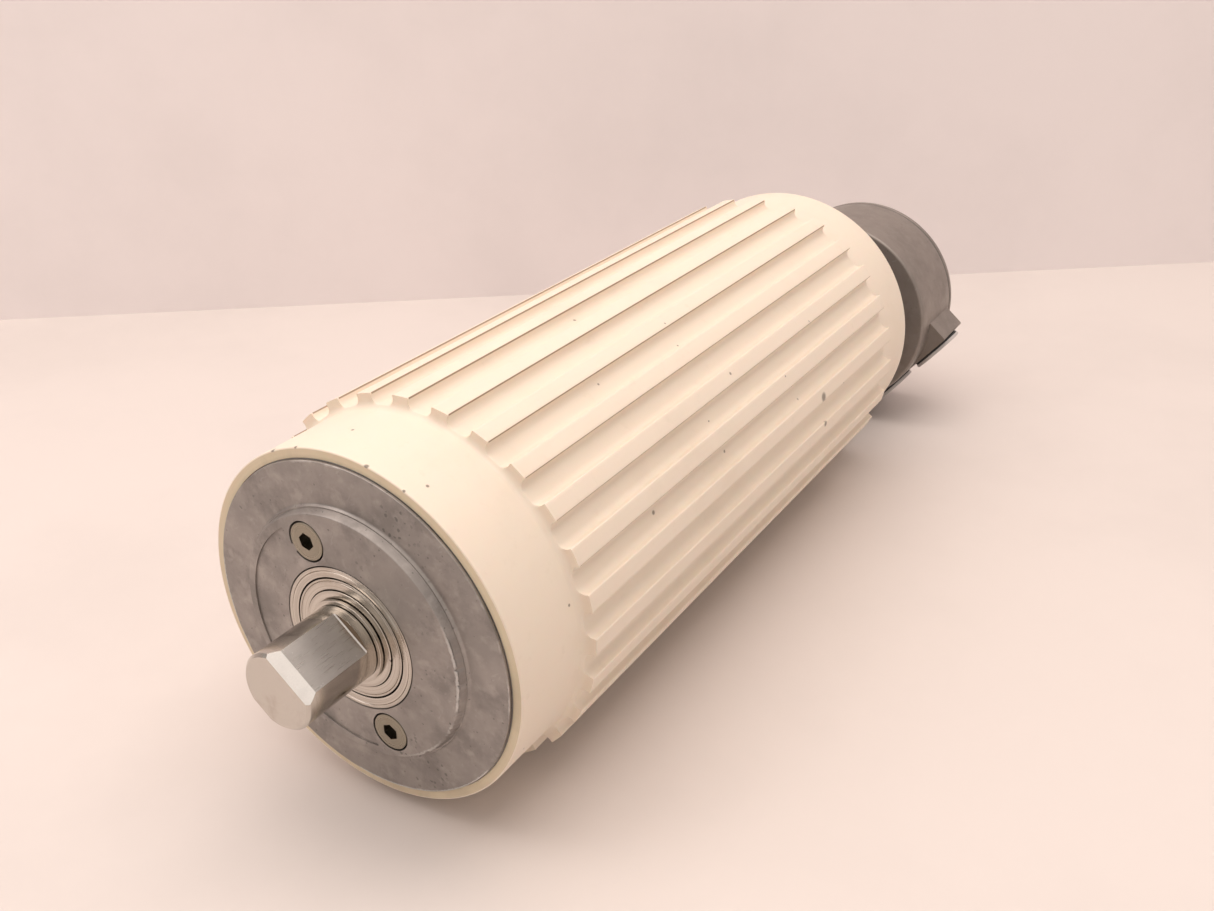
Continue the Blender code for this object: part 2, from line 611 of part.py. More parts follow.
def motor_case():
    """The fixed parts round the rotor: front flange, sleeve, laminations and coil heads."""
    flange = turned("motor_flange", [
        (ROTOR_BEARING_RADIUS + GAP, MOTOR_FLANGE), (CARRIER_RADIUS, MOTOR_FLANGE),
        (CARRIER_RADIUS, MOTOR_FLANGE + MOTOR_FLANGE_WIDTH),
        (ROTOR_BEARING_RADIUS + GAP, MOTOR_FLANGE + MOTOR_FLANGE_WIDTH)], CAST, steps=FINE)
    bore(flange, [(PIN_RADIUS + RUN, MOTOR_FLANGE - 2 * MM, MOTOR_FLANGE + 4.5 * MM)],
         parent=layshaft_axis, steps=16)
    ring("motor_sleeve", STATOR_RADIUS + GAP, CARRIER_RADIUS, SLEEVE, SLEEVE_END, CAST, steps=FINE)
    mouth = math.radians(360.0 / STATOR_SLOTS)
    bore_outline = []
    for i in range(STATOR_SLOTS):
        middle = mouth * i
        for radius, share in ((STATOR_BORE, -0.25), (STATOR_BORE + 10 * MM, -0.2),
                              (STATOR_BORE + 10 * MM, 0.2), (STATOR_BORE, 0.25)):
            angle = middle + share * mouth
            bore_outline.append((radius * math.cos(angle), radius * math.sin(angle)))
    plate("stator_core", [circle(STATOR_RADIUS, FINE), bore_outline], STATOR, STATOR_END, LAMINATION)
    outer = STATOR_RADIUS - 2.0 * MM
    inner = outer - COIL_THICKNESS
    for name, start in (("front_coil_head", STATOR - GAP - COIL_LENGTH),
                        ("rear_coil_head", STATOR_END + GAP)):
        end = start + COIL_LENGTH
        nose = 3.5 * MM
        turned(name, [(inner, start + nose), (inner + nose, start), (outer - nose, start),
                      (outer, start + nose), (outer, end - nose), (outer - nose, end),
                      (inner + nose, end), (inner, end - nose)], COPPER, steps=24)


def rotor():
    """The rotor: shaft, laminated core, end rings and pinion, with the bearings that hold it."""
    front_seat = MOTOR_FLANGE + MOTOR_FLANGE_WIDTH + 2 * MM
    rear_bearing = REAR_FLANGE - ROTOR_BEARING_WIDTH - 1 * MM
    rear_seat = rear_bearing - 2 * MM
    tip = REAR_FLANGE - 1.5 * MM
    bore_room = ROTOR_SHAFT_RADIUS
    pinion_seat = 4.0 * MM
    turned("rotor_shaft", [
        (0, WHEEL - 1 * MM), (pinion_seat, WHEEL - 1 * MM), (pinion_seat, WHEEL + GEAR_WIDTH + GAP),
        (ROTOR_JOURNAL_RADIUS, WHEEL + GEAR_WIDTH + GAP), (ROTOR_JOURNAL_RADIUS, front_seat),
        (bore_room, front_seat), (bore_room, rear_seat), (ROTOR_JOURNAL_RADIUS, rear_seat),
        (ROTOR_JOURNAL_RADIUS, tip), (0, tip)], GEAR_STEEL, steps=16)
    gear("rotor_pinion", ROTOR_TEETH, WHEEL, WHEEL + GEAR_WIDTH, pinion_seat + GAP, -90.0,
         GEAR_STEEL, axis)
    core_radius = STATOR_BORE - AIR_GAP
    ring("rotor_core", bore_room + GAP, core_radius, STATOR, STATOR_END, LAMINATION, steps=FINE)
    for name, start in (("rotor_front_end_ring", STATOR - GAP - 5 * MM),
                        ("rotor_rear_end_ring", STATOR_END + GAP)):
        ring(name, core_radius - 9 * MM, core_radius - 1 * MM, start, start + 5 * MM, CAST)
    for name, start in (("rotor_front_bearing", MOTOR_FLANGE), ("rotor_rear_bearing", rear_bearing)):
        ring(name, ROTOR_JOURNAL_RADIUS + RUN, ROTOR_BEARING_RADIUS, start,
             start + ROTOR_BEARING_WIDTH, STEEL)


def rear_shaft():
    """The hollow rear shaft: the motor's end flange, the bearing seat, two flats and the box's neck."""
    flange_end = REAR_FLANGE + 7 * MM
    step = REAR - BEARING_END - GAP
    shoulder = SHAFT_RADIUS + 4.0 * MM
    hub = ROTOR_BEARING_RADIUS + GAP
    bearing_start = REAR_FLANGE - ROTOR_BEARING_WIDTH - 1 * MM
    groove = SHAFT_RADIUS - 0.9 * MM
    clip_start = REAR + BOSS_PROUD + 0.2 * MM
    clip_end = clip_start + CIRCLIP_WIDTH + 2 * GAP
    neck_start = BOX - GAP
    neck_end = BOX + BOX_FRONT + NUT_WIDTH + 4 * MM
    shaft = turned("rear_shaft", [
        (hub, bearing_start), (hub + 4 * MM, bearing_start), (hub + 4 * MM, REAR_FLANGE),
        (CARRIER_RADIUS, REAR_FLANGE), (CARRIER_RADIUS, flange_end), (18 * MM, flange_end + 6 * MM),
        (SHAFT_RADIUS, flange_end + 6 * MM), (SHAFT_RADIUS, step - 2 * MM), (shoulder, step - 2 * MM),
        (shoulder, step), (SHAFT_RADIUS, step), (SHAFT_RADIUS, clip_start), (groove, clip_start),
        (groove, clip_end), (SHAFT_RADIUS, clip_end), (SHAFT_RADIUS, neck_start),
        (NECK_RADIUS, neck_start), (NECK_RADIUS, neck_end), (CABLE_BORE, neck_end),
        (CABLE_BORE, REAR_FLANGE), (hub, REAR_FLANGE)], STEEL, steps=SHAFT_STEPS)
    cut_flats(shaft, REAR + FLAT_SHOULDER, BOX)
    bore(shaft, [(4 * MM, REAR_FLANGE - 2 * MM, flange_end + 9 * MM)], around(LEAD_RADIUS, 90.0), steps=12)
    side_hole = turned("rear_shaft_lead_hole", [(0, 0), (4 * MM, 0), (4 * MM, 30 * MM), (0, 30 * MM)],
                       None, axis, 12, (0, 0, LEAD_TURN))
    side_hole.rotation_euler = (math.pi / 2, 0, 0)
    cut(shaft, side_hole)


def motor_leads():
    """The sleeved leads: through the end flange, into the hollow shaft and on to the terminals."""
    start = STATOR_END + COIL_LENGTH + 6 * MM
    end = BOX + BOX_FRONT + NUT_WIDTH + 7 * MM
    route = [Vector((0, -LEAD_RADIUS, start)), Vector((0, -LEAD_RADIUS, LEAD_TURN - 8 * MM)),
             Vector((0, -LEAD_RADIUS, LEAD_TURN)), Vector((0, -LEAD_RADIUS + 8 * MM, LEAD_TURN)),
             Vector((0, -10 * MM, LEAD_TURN)), Vector((0, 0, LEAD_TURN)),
             Vector((0, 0, LEAD_TURN + 9 * MM)), Vector((0, 0, end))]
    points = [route[0]]
    for corner in (2, 5):
        before, middle, after = route[corner - 1], route[corner], route[corner + 1]
        for i in range(5):
            t = i / 4
            points.append(before * (1 - t) ** 2 + middle * 2 * t * (1 - t) + after * t ** 2)
    points.append(route[-1])
    curve = bpy.data.curves.new("motor_leads", "CURVE")
    curve.dimensions = "3D"
    curve.bevel_depth = 2.2 * MM
    curve.bevel_resolution = 1
    curve.use_fill_caps = True
    spline = curve.splines.new("POLY")
    spline.points.add(len(points) - 1)
    for point, place in zip(spline.points, points):
        point.co = (*place, 1)
    leads = put("motor_leads", curve, RUBBER, axis)
    weld = leads.modifiers.new("weld", "WELD")
    weld.merge_threshold = 0.000001


# ---------------------------------------------------------------------------- terminal box

def round_pad(width, depth):
    """The box's outline with the flat pad under it."""
    rise = math.sqrt(BOX_RADIUS ** 2 - width ** 2)
    return [(-width, depth), (-width, rise - 6 * MM), (width, rise - 6 * MM), (width, depth)]


def terminal_box():
    """The cast body: a round wall, a front wall on the shaft's neck and a pad for two cable entries."""
    body = turned("terminal_box_body", [
        (0, 0), (BOX_RADIUS - 0.8 * MM, 0), (BOX_RADIUS, 0.8 * MM), (BOX_RADIUS, BOX_DEPTH),
        (BOX_RADIUS - BOX_WALL, BOX_DEPTH), (BOX_RADIUS - BOX_WALL, BOX_FRONT), (0, BOX_FRONT)],
        CAST, box_centre, FINE)
    pad = plate("entry_pad", [round_pad(PAD_HALF_WIDTH, BOX_RADIUS)], PAD_START,
                PAD_START + PAD_LENGTH, None, box_centre)
    inside = turned("box_inside", [
        (0, BOX_FRONT), (BOX_RADIUS - BOX_WALL, BOX_FRONT), (BOX_RADIUS - BOX_WALL, BOX_DEPTH + 5 * MM),
        (0, BOX_DEPTH + 5 * MM)], None, box_centre, FINE)
    cut(body, pad, "UNION")
    cut(body, inside)
    for i, (x, y) in enumerate(lid_screw_places()):
        post = turned(f"screw_post_{i}", [(0, BOX_FRONT - 1 * MM), (5 * MM, BOX_FRONT - 1 * MM),
                                          (5 * MM, BOX_DEPTH), (0, BOX_DEPTH)], None, box_centre, 12,
                      (x, y, 0))
        cut(body, post, "UNION")
    for place in lid_screw_places():
        bore(body, [(LID_SCREW_RADIUS + GAP, BOX_DEPTH - 12 * MM, BOX_DEPTH + 2 * MM)], place,
             box_centre, TINY)
    bore(body, [(NECK_RADIUS + GAP, -2 * MM, BOX_FRONT + 2 * MM)], (0, -BOX_DROP), box_centre)
    middle = PAD_START + PAD_LENGTH / 2
    for number, x in ((1, ENTRY_OFFSET), (2, -ENTRY_OFFSET)):
        frame = empty(f"entry_axis_{number}", box_centre, (x, BOX_RADIUS, middle), (-math.pi / 2, 0, 0))
        bore(body, [(ENTRY_RADIUS, -12 * MM, 5 * MM)], parent=frame)
        thread = ENTRY_RADIUS - GAP
        cap = turned(f"entry_cap_{number}", [
            (0, GAP + CAP_HEAD), (CAP_RADIUS - 0.5 * MM, GAP + CAP_HEAD),
            (CAP_RADIUS, GAP + CAP_HEAD - 0.5 * MM), (CAP_RADIUS, GAP), (thread, GAP),
            (thread, -7 * MM), (0, -7 * MM)], PLASTIC, frame)
        cut(cap, block(f"entry_cap_{number}_slot", (14 * MM, 2 * MM, 2.4 * MM),
                       (0, 0, GAP + CAP_HEAD), None, frame))


def lid_screw_places():
    """Four places round the lid, clear of the pad's two entries."""
    return [(LID_SCREW_CIRCLE * math.cos(math.radians(a)), LID_SCREW_CIRCLE * math.sin(math.radians(a)))
            for a in (12.0, 168.0, 222.0, 318.0)]


def box_lid():
    """Gasket, lid and its four countersunk screws."""
    gasket_z = BOX_DEPTH + GAP
    lid_z = gasket_z + GASKET_THICKNESS + GAP
    lid_end = lid_z + LID_THICKNESS
    gasket_outline = [circle(BOX_RADIUS - 0.6 * MM, FINE), circle(BOX_RADIUS - 3.3 * MM, FINE)]
    plate("lid_gasket", gasket_outline, gasket_z, gasket_z + GASKET_THICKNESS, RUBBER, box_centre)
    lid = turned("terminal_box_lid", [
        (0, lid_z), (BOX_RADIUS, lid_z), (BOX_RADIUS, lid_end - 0.7 * MM),
        (BOX_RADIUS - 0.7 * MM, lid_end), (0, lid_end)], CAST, box_centre, FINE)
    head = 3.8 * MM
    sink = 1.6 * MM
    for number, place in enumerate(lid_screw_places(), start=1):
        well = turned(f"lid_well_{number}", [
            (0, lid_z - 1 * MM), (LID_SCREW_RADIUS + GAP, lid_z - 1 * MM),
            (LID_SCREW_RADIUS + GAP, lid_end - sink - GAP), (head + 2 * GAP, lid_end),
            (head + 2 * GAP, lid_end + 1 * MM), (0, lid_end + 1 * MM)], None, box_centre, TINY, (*place, 0))
        cut(lid, well)
        screw = turned(f"lid_screw_{number}", [
            (0, BOX_DEPTH - 9 * MM), (LID_SCREW_RADIUS, BOX_DEPTH - 9 * MM),
            (LID_SCREW_RADIUS, lid_end - sink), (head, lid_end - 0.1 * MM), (0, lid_end - 0.1 * MM)],
            STAINLESS, box_centre, TINY, (*place, 0))
        socket = circle(2.5 * MM / math.sqrt(3), 6)
        cut(screw, plate(f"lid_screw_{number}_socket", [socket], lid_end - 1.4 * MM, lid_end + 1 * MM,
                         None, box_centre, (*place, 0)))


def box_inside():
    """The nut that holds the box on the neck, the terminal block and the earth screw."""
    place = (0, -BOX_DROP, 0)
    z0 = BOX_FRONT + GAP
    nut_outline = [circle(NUT_ACROSS / math.sqrt(3), 6), circle(NECK_RADIUS + GAP, COARSE)]
    plate("neck_nut", nut_outline, z0, z0 + NUT_WIDTH, STEEL, box_centre, place)
    size = (44 * MM, 14 * MM, 16 * MM)
    centre = (0, 15 * MM, z0 + size[2] / 2)
    terminals = block("terminal_block", size, centre, PLASTIC, box_centre)
    for i in range(5):
        x = (i - 2) * 8 * MM
        bore(terminals, [(2.2 * MM, z0 + 4 * MM, z0 + size[2] + 2 * MM)], (x, centre[1]), box_centre, TINY)
    reach = LID_SCREW_CIRCLE - 8 * MM
    midway = math.radians(345.0)            # between two of the posts for the lid's screws
    turned("earth_screw", [
        (0, z0), (4.0 * MM, z0), (4.0 * MM, z0 + 3 * MM), (0, z0 + 3 * MM)],
        BRASS, box_centre, TINY, (reach * math.cos(midway), reach * math.sin(midway), 0))


lagging()
drum_tube()
front_housing = end_housing("front_end_housing", FRONT, 1)
end_housing("rear_end_housing", REAR, -1)
label_field(front_housing)
for plug_number, plug_angle in enumerate(PLUG_ANGLES, start=1):
    oil_plug(front_housing, plug_number, plug_angle)
for end_name, end_place, end_sense in (("front", FRONT, 1), ("rear", REAR, -1)):
    drum_seals(end_name, end_place, end_sense)
    shaft_rings(end_name, end_place, end_sense)
    ball_bearing(end_name, end_place, end_sense)
ring_gear()
gear_carrier()
layshaft()
front_shaft()
motor_case()
rotor()
rear_shaft()
motor_leads()
terminal_box()
box_lid()
box_inside()
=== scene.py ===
"""Finish of the drum motor: the fine shapes of what shows, every material, the light and the camera.

Every piece is built in place, in metres, in the frame of the CAD model: the drum's axis runs along +Y
from the front shaft's end face, and +Z is up.
"""

import json
import math

import bmesh
import bpy
from mathutils import Matrix, Vector, noise


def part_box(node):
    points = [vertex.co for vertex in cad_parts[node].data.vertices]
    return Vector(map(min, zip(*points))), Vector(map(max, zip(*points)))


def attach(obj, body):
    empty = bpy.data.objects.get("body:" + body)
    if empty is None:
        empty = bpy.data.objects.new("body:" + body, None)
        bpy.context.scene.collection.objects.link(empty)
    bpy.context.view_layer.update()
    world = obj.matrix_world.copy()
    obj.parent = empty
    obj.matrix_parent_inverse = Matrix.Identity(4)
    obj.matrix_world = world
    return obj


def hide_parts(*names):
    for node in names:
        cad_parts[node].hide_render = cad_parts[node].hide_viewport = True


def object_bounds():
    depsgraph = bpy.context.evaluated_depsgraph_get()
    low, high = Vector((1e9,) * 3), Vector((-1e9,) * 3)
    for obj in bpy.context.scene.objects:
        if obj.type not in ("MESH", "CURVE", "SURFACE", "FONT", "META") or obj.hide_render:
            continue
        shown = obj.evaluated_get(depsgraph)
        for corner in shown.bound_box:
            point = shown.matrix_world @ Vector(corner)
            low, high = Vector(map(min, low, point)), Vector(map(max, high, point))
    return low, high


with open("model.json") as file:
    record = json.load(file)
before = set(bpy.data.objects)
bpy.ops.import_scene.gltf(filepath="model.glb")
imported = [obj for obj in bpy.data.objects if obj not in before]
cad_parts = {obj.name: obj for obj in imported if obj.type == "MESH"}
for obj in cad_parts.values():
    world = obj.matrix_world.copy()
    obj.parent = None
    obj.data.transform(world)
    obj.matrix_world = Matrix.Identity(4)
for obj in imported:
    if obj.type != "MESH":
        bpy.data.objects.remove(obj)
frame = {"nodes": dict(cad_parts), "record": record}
cad_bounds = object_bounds()

MM = 0.001
GAP = 0.3 * MM
ROUND = 192                  # facets round the large turned pieces
SMALL_ROUND = 64             # facets round screws and plugs

# Stations along the drum's axis, read from the frame
NEAR_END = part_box("lagging")[0].y
FAR_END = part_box("lagging")[1].y
BOX_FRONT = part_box("terminal_box_body")[0].y
BOX_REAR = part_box("terminal_box_body")[1].y
FLOOR = cad_bounds[0].z
MIDDLE = (NEAR_END + FAR_END) / 2
HALF_LENGTH = (FAR_END - NEAR_END) / 2

# Lagging
TUBE_OUTER = 56.65 * MM
TUBE_SEAT = 55.0 * MM
TUBE_BORE = 53.35 * MM
SEAT_DEPTH = 16.0 * MM
BAND = 60.0 * MM
RIB = 64.6 * MM
GROOVE = 61.0 * MM
RIB_COUNT = 27
RIB_LAND = 6.2 * MM
BAND_WIDTH = 30.5 * MM
GROOVE_ROUND = 2.6 * MM
LAND_ROUND = 0.35 * MM
RIB_END_ROUND = 2.4 * MM

# End housings, in depths from the lagging's end face
FACE = -1.1 * MM
BOSS_FACE = -4.6 * MM
BOSS = 41.2 * MM
BOSS_FOOT = 41.95 * MM
FOOT_DEPTH = -1.9 * MM
HOUSING_EDGE = 56.4 * MM
HOUSING_SEAT = 54.85 * MM
FIELD_INNER = 28.2 * MM
FIELD_OUTER = 38.6 * MM
FIELD_DEPTH = 0.5 * MM
FIELD_FROM = 121.5
FIELD_TO = 277.0
PLUG_CIRCLE = 32.35 * MM
PLUG_ANGLES = (109.6, -70.4)
PLUG_HEAD = 6.25 * MM
PLUG_HEX = 5.0 * MM
CHIPPED_AT = math.radians(-14.0)

PLUG_CLEARANCE = 0.55 * MM
PLUG_HEAD_DEPTH = 4.0 * MM
PLUG_THREAD = 4.0 * MM
PLUG_LENGTH = 14.0 * MM
PLUG_SOCKET_DEPTH = 3.2 * MM
SOCKET_SHADE = 3.4 * MM      # the socket's walls, painted near-black, lie within this of the plug's axis
WASHER_SEAT = 5.6 * MM
SPIGOT = 53.05 * MM
SPIGOT_BORE = 46.3 * MM
SPIGOT_DEPTH = 26.0 * MM
SEAT_END = 15.7 * MM
HUB = 31.5 * MM
HUB_BORE = 26.3 * MM
HUB_DEPTH = 19.5 * MM
HUB_STEP = 3.7 * MM
WEB_DEPTH = 12.0 * MM

# Shafts and the rings on them
SHAFT = 12.5 * MM
FLAT = 10.0 * MM
BACK_FLAT = 11.0 * MM
FLAT_SHOULDER = 9.5 * MM
FILLET = 0.35 * MM
CHAMFER_RISE = 2.0 * MM
CHAMFER_RUN = 3.7 * MM
NECK = 9.8 * MM
SEAL_CASE = 24.0 * MM
SEAL_CASE_INNER = 20.6 * MM
DEFLECTOR = 20.1 * MM
COLLAR = 16.3 * MM
COLLAR_FACE = -4.8 * MM

# Terminal box
BOX = 46.6 * MM
BOX_DROP = 13.8 * MM
BOX_WALL = 3.5 * MM
BOX_FRONT_WALL = 5.0 * MM
PAD_HALF_WIDTH = 30.0 * MM
PAD_START = 11.0 * MM
PAD_LENGTH = 26.0 * MM
ENTRY_OFFSET = 17.0 * MM
ENTRY_HOLE = 10.2 * MM
CAP = 13.0 * MM
CAP_HEAD = 2.3 * MM
CAP_SEAL = 0.8 * MM
LID_SCREW_CIRCLE = 38.6 * MM
LID_SCREW_ANGLES = (12.0, 168.0, 222.0, 318.0)

# Directions: across and down the terminal box. The shaft's flats face across it.
mounts = {mount["name"]: mount for mount in frame["record"]["mounts"]}
ACROSS = Vector(mounts["front_shaft_flat"]["axis"]).normalized()
ALONG = Vector((0, 1, 0))
DOWN = ALONG.cross(ACROSS)


def axes(origin, x, y, z):
    """The placing of a piece whose own axes are x, y and z."""
    return Matrix.Translation(origin) @ Matrix((x, y, z)).transposed().to_4x4()


def spoke(radius, angle):
    """The point at a radius and an angle, in radians."""
    return radius * math.cos(angle), radius * math.sin(angle)


DRUM_AXES = axes(Vector(), Vector((1, 0, 0)), Vector((0, 0, -1)), ALONG)
BOX_AXES = axes(DOWN * BOX_DROP + ALONG * BOX_FRONT, ACROSS, DOWN, ALONG)
FLAT_AXES = axes(Vector(), ACROSS, DOWN, ALONG)
SHAFT_AXES = axes(Vector(), ACROSS, ALONG, -DOWN)


# ---------------------------------------------------------------------------- shared shading steps

def step(tree, kind, inputs=(), **settings):
    """A shader node. An input given as a socket is wired, and any other is set."""
    node = tree.nodes.new("ShaderNode" + kind)
    for key, value in settings.items():
        setattr(node, key, value)
    for key, value in dict(inputs).items():
        if isinstance(value, bpy.types.NodeSocket):
            tree.links.new(value, node.inputs[key])
        else:
            node.inputs[key].default_value = value
    return node


def reckon(tree, operation, *values):
    """One step of arithmetic."""
    return step(tree, "Math", dict(enumerate(values)), operation=operation).outputs[0]


def spread(tree, value, low, high, to_low=0.0, to_high=1.0):
    """A value drawn out smoothly from one range to another."""
    inputs = {"Value": value, 1: low, 2: high, 3: to_low, 4: to_high}
    node = step(tree, "MapRange", inputs, interpolation_type="SMOOTHSTEP")
    return node.outputs[0]


def fractal(tree, place, scale, detail, roughness=0.5):
    """Fractal noise about a place."""
    return step(tree, "TexNoise", {"Vector": place, "Scale": scale, "Detail": detail,
                                   "Roughness": roughness}).outputs[0]


def polar(tree, place, beside_x=0.0, beside_z=0.0):
    """How far a place is from the drum's axis, or from a line beside it, and from the drum's middle."""
    x, y, z = step(tree, "SeparateXYZ", {0: place}).outputs
    flat = step(tree, "CombineXYZ", {0: reckon(tree, "SUBTRACT", x, beside_x),
                                     2: reckon(tree, "SUBTRACT", z, beside_z)}).outputs[0]
    radius = step(tree, "VectorMath", {0: flat}, operation="LENGTH").outputs["Value"]
    outward = reckon(tree, "ABSOLUTE", reckon(tree, "SUBTRACT", y, MIDDLE))
    return radius, outward, (x, y, z)


def new_group(name, inputs, output):
    """An empty node group with number inputs, a place input and one output."""
    tree = bpy.data.node_groups.new(name, "ShaderNodeTree")
    tree.interface.new_socket("Place", in_out="INPUT", socket_type="NodeSocketVector")
    for label, value in inputs.items():
        socket = tree.interface.new_socket(label, in_out="INPUT", socket_type="NodeSocketFloat")
        socket.default_value = value
    tree.interface.new_socket(output, in_out="OUTPUT", socket_type="NodeSocketFloat")
    given = tree.nodes.new("NodeGroupInput").outputs
    result = tree.nodes.new("NodeGroupOutput").inputs[output]
    return tree, given, result


def make_cloudy():
    """Soft patches, as of oxide, grime or uneven moulding."""
    tree, given, result = new_group("cloudy", {"Scale": 60.0, "From": 0.4, "To": 0.65}, "Mask")
    cloud = fractal(tree, given["Place"], given["Scale"], 6.0, 0.6)
    tree.links.new(spread(tree, cloud, given["From"], given["To"]), result)
    return tree


def make_specks():
    """Small round marks: pits, casting pores or dust, in a share of the cells of a grid."""
    tree, given, result = new_group("specks", {"Scale": 300.0, "Size": 0.25, "Share": 0.1}, "Mask")
    warp = step(tree, "TexNoise", {"Vector": given["Place"], "Scale": 900.0, "Detail": 2.0})
    offset = step(tree, "VectorMath", {0: warp.outputs[1], "Scale": 0.0012}, operation="SCALE")
    place = step(tree, "VectorMath", {0: given["Place"], 1: offset.outputs[0]}, operation="ADD")
    cells = step(tree, "TexVoronoi", {"Vector": place.outputs[0], "Scale": given["Scale"]})
    dice = step(tree, "SeparateColor", {"Color": cells.outputs["Color"]})
    size = reckon(tree, "MULTIPLY", given["Size"], reckon(tree, "ADD", dice.outputs[1], 0.35))
    near = reckon(tree, "DIVIDE", cells.outputs["Distance"], size)
    inside = spread(tree, near, 1.0, 0.6)
    chosen = reckon(tree, "LESS_THAN", dice.outputs[0], given["Share"])
    tree.links.new(reckon(tree, "MULTIPLY", inside, chosen), result)
    return tree


def make_scratches():
    """Short straight scratches in two directions, in patches."""
    tree, given, result = new_group("scratches", {"Scale": 300.0, "Length": 25.0, "Share": 0.5}, "Mask")
    lines = None
    for turn in (0.5, -1.1):
        place = step(tree, "Mapping", {"Vector": given["Place"], "Rotation": (turn, 0.3, turn)})
        parts = step(tree, "SeparateXYZ", {0: place.outputs[0]})
        drawn = step(tree, "CombineXYZ", {0: reckon(tree, "DIVIDE", parts.outputs[0], given["Length"]),
                                          1: parts.outputs[1], 2: parts.outputs[2]})
        line = spread(tree, fractal(tree, drawn.outputs[0], given["Scale"], 1.0), 0.70, 0.76)
        lines = line if lines is None else reckon(tree, "MAXIMUM", lines, line)
    patch = fractal(tree, given["Place"], 70.0, 3.0)
    where = spread(tree, patch, reckon(tree, "ADD", given["Share"], 0.08), given["Share"])
    tree.links.new(reckon(tree, "MULTIPLY", lines, where), result)
    return tree


def make_ring_wear():
    """A ragged band round the drum's axis, where an edge has rubbed bright, on both ends alike."""
    inputs = {"Radius": 0.041, "Width": 0.001, "Outward": 0.15, "Reach": 0.0005, "Ragged": 0.002,
              "Patchy": 0.45, "Facing": 0.0, "Part": -2.0}
    tree, given, result = new_group("ring_wear", inputs, "Mask")
    radius, outward, (x, _, z) = polar(tree, given["Place"])
    rough = fractal(tree, given["Place"], 700.0, 4.0, 0.7)
    shift = reckon(tree, "MULTIPLY", reckon(tree, "SUBTRACT", rough, 0.5), given["Ragged"])
    mask = None
    for value, centre, width in ((radius, given["Radius"], given["Width"]),
                                 (outward, given["Outward"], given["Reach"])):
        off = reckon(tree, "SUBTRACT", reckon(tree, "ADD", value, shift), centre)
        band = spread(tree, reckon(tree, "ABSOLUTE", off), width, reckon(tree, "MULTIPLY", width, 0.4))
        mask = band if mask is None else reckon(tree, "MULTIPLY", mask, band)
    patch = fractal(tree, given["Place"], 45.0, 4.0)
    where = spread(tree, patch, given["Patchy"], reckon(tree, "ADD", given["Patchy"], 0.12))
    turn = reckon(tree, "ARCTAN2", z, x)
    facing = reckon(tree, "COSINE", reckon(tree, "SUBTRACT", turn, given["Facing"]))
    side = spread(tree, facing, given["Part"], reckon(tree, "ADD", given["Part"], 0.5))
    tree.links.new(reckon(tree, "MULTIPLY", reckon(tree, "MULTIPLY", mask, where), side), result)
    return tree


def make_turned():
    """The fine lines that a lathe leaves, round the drum's axis or round a line beside it."""
    inputs = {"Fineness": 9000.0, "Beside X": 0.0, "Beside Z": 0.0}
    tree, given, result = new_group("turned", inputs, "Height")
    radius, _, (_, y, _) = polar(tree, given["Place"], given["Beside X"], given["Beside Z"])
    line = step(tree, "CombineXYZ", {0: reckon(tree, "MULTIPLY", radius, given["Fineness"]),
                                     1: reckon(tree, "MULTIPLY", y, given["Fineness"])})
    tree.links.new(fractal(tree, line.outputs[0], 1.0, 3.0, 0.7), result)
    return tree


CLOUDY = make_cloudy()
SPECKS = make_specks()
SCRATCHES = make_scratches()
RING_WEAR = make_ring_wear()
TURNED = make_turned()


def place_of(tree):
    """Where a point of the surface is, in the piece's own frame."""
    return step(tree, "TexCoord").outputs["Object"]


def effect(tree, group, **values):
    """A shared effect placed in a material."""
    node = tree.nodes.new("ShaderNodeGroup")
    node.node_tree = group
    tree.links.new(place_of(tree), node.inputs["Place"])
    for label, value in values.items():
        node.inputs[label.replace("_", " ")].default_value = value
    return node.outputs[0]


def cloudy(tree, scale, low, high):
    """Soft patches where the cloud is thicker than a level."""
    return effect(tree, CLOUDY, Scale=scale, From=low, To=high)


def specks(tree, scale, size, share):
    """Small round marks."""
    return effect(tree, SPECKS, Scale=scale, Size=size, Share=share)


def scaled(colour, factor):
    """A colour made darker or lighter."""
    return tuple(min(1.0, factor * value) for value in colour)


def wire(tree, shader, **sockets):
    """Feeds a shader's inputs."""
    for label, value in sockets.items():
        tree.links.new(value, shader[label.replace("_", " ")])


def tint(tree, base, colour, mask, amount=1.0):
    """A colour laid over another where the mask is."""
    if amount != 1.0:
        mask = reckon(tree, "MULTIPLY", mask, amount)
    mix = step(tree, "Mix", {"Factor": mask}, data_type="RGBA")
    for index, value in ((6, base), (7, colour)):
        if isinstance(value, bpy.types.NodeSocket):
            tree.links.new(value, mix.inputs[index])
        else:
            mix.inputs[index].default_value = (*value, 1.0)
    return mix.outputs[2]


def layered(tree, colour, *layers):
    """A colour with others laid over it, each a colour, its mask and an amount."""
    for over, mask, amount in layers:
        colour = tint(tree, colour, over, mask, amount)
    return colour


def relief(tree, *layers):
    """Bumps laid one over another, each a height, the depth it stands for and a strength."""
    inputs = {}
    for height, distance, strength in layers:
        inputs.update({"Height": height, "Distance": distance, "Strength": strength})
        inputs["Normal"] = step(tree, "Bump", inputs).outputs[0]
    return inputs["Normal"]


def new_material(name, colour, roughness, metallic=0.0, **sockets):
    """A material with its plain values set; returns it with its tree and its shader's inputs."""
    material = bpy.data.materials.new(name)
    material.use_nodes = True
    shader = material.node_tree.nodes["Principled BSDF"].inputs
    shader["Base Color"].default_value = (*colour, 1.0)
    shader["Roughness"].default_value = roughness
    shader["Metallic"].default_value = metallic
    for label, value in sockets.items():
        shader[label.replace("_", " ")].default_value = value
    return material, material.node_tree, shader


# ---------------------------------------------------------------------------- materials

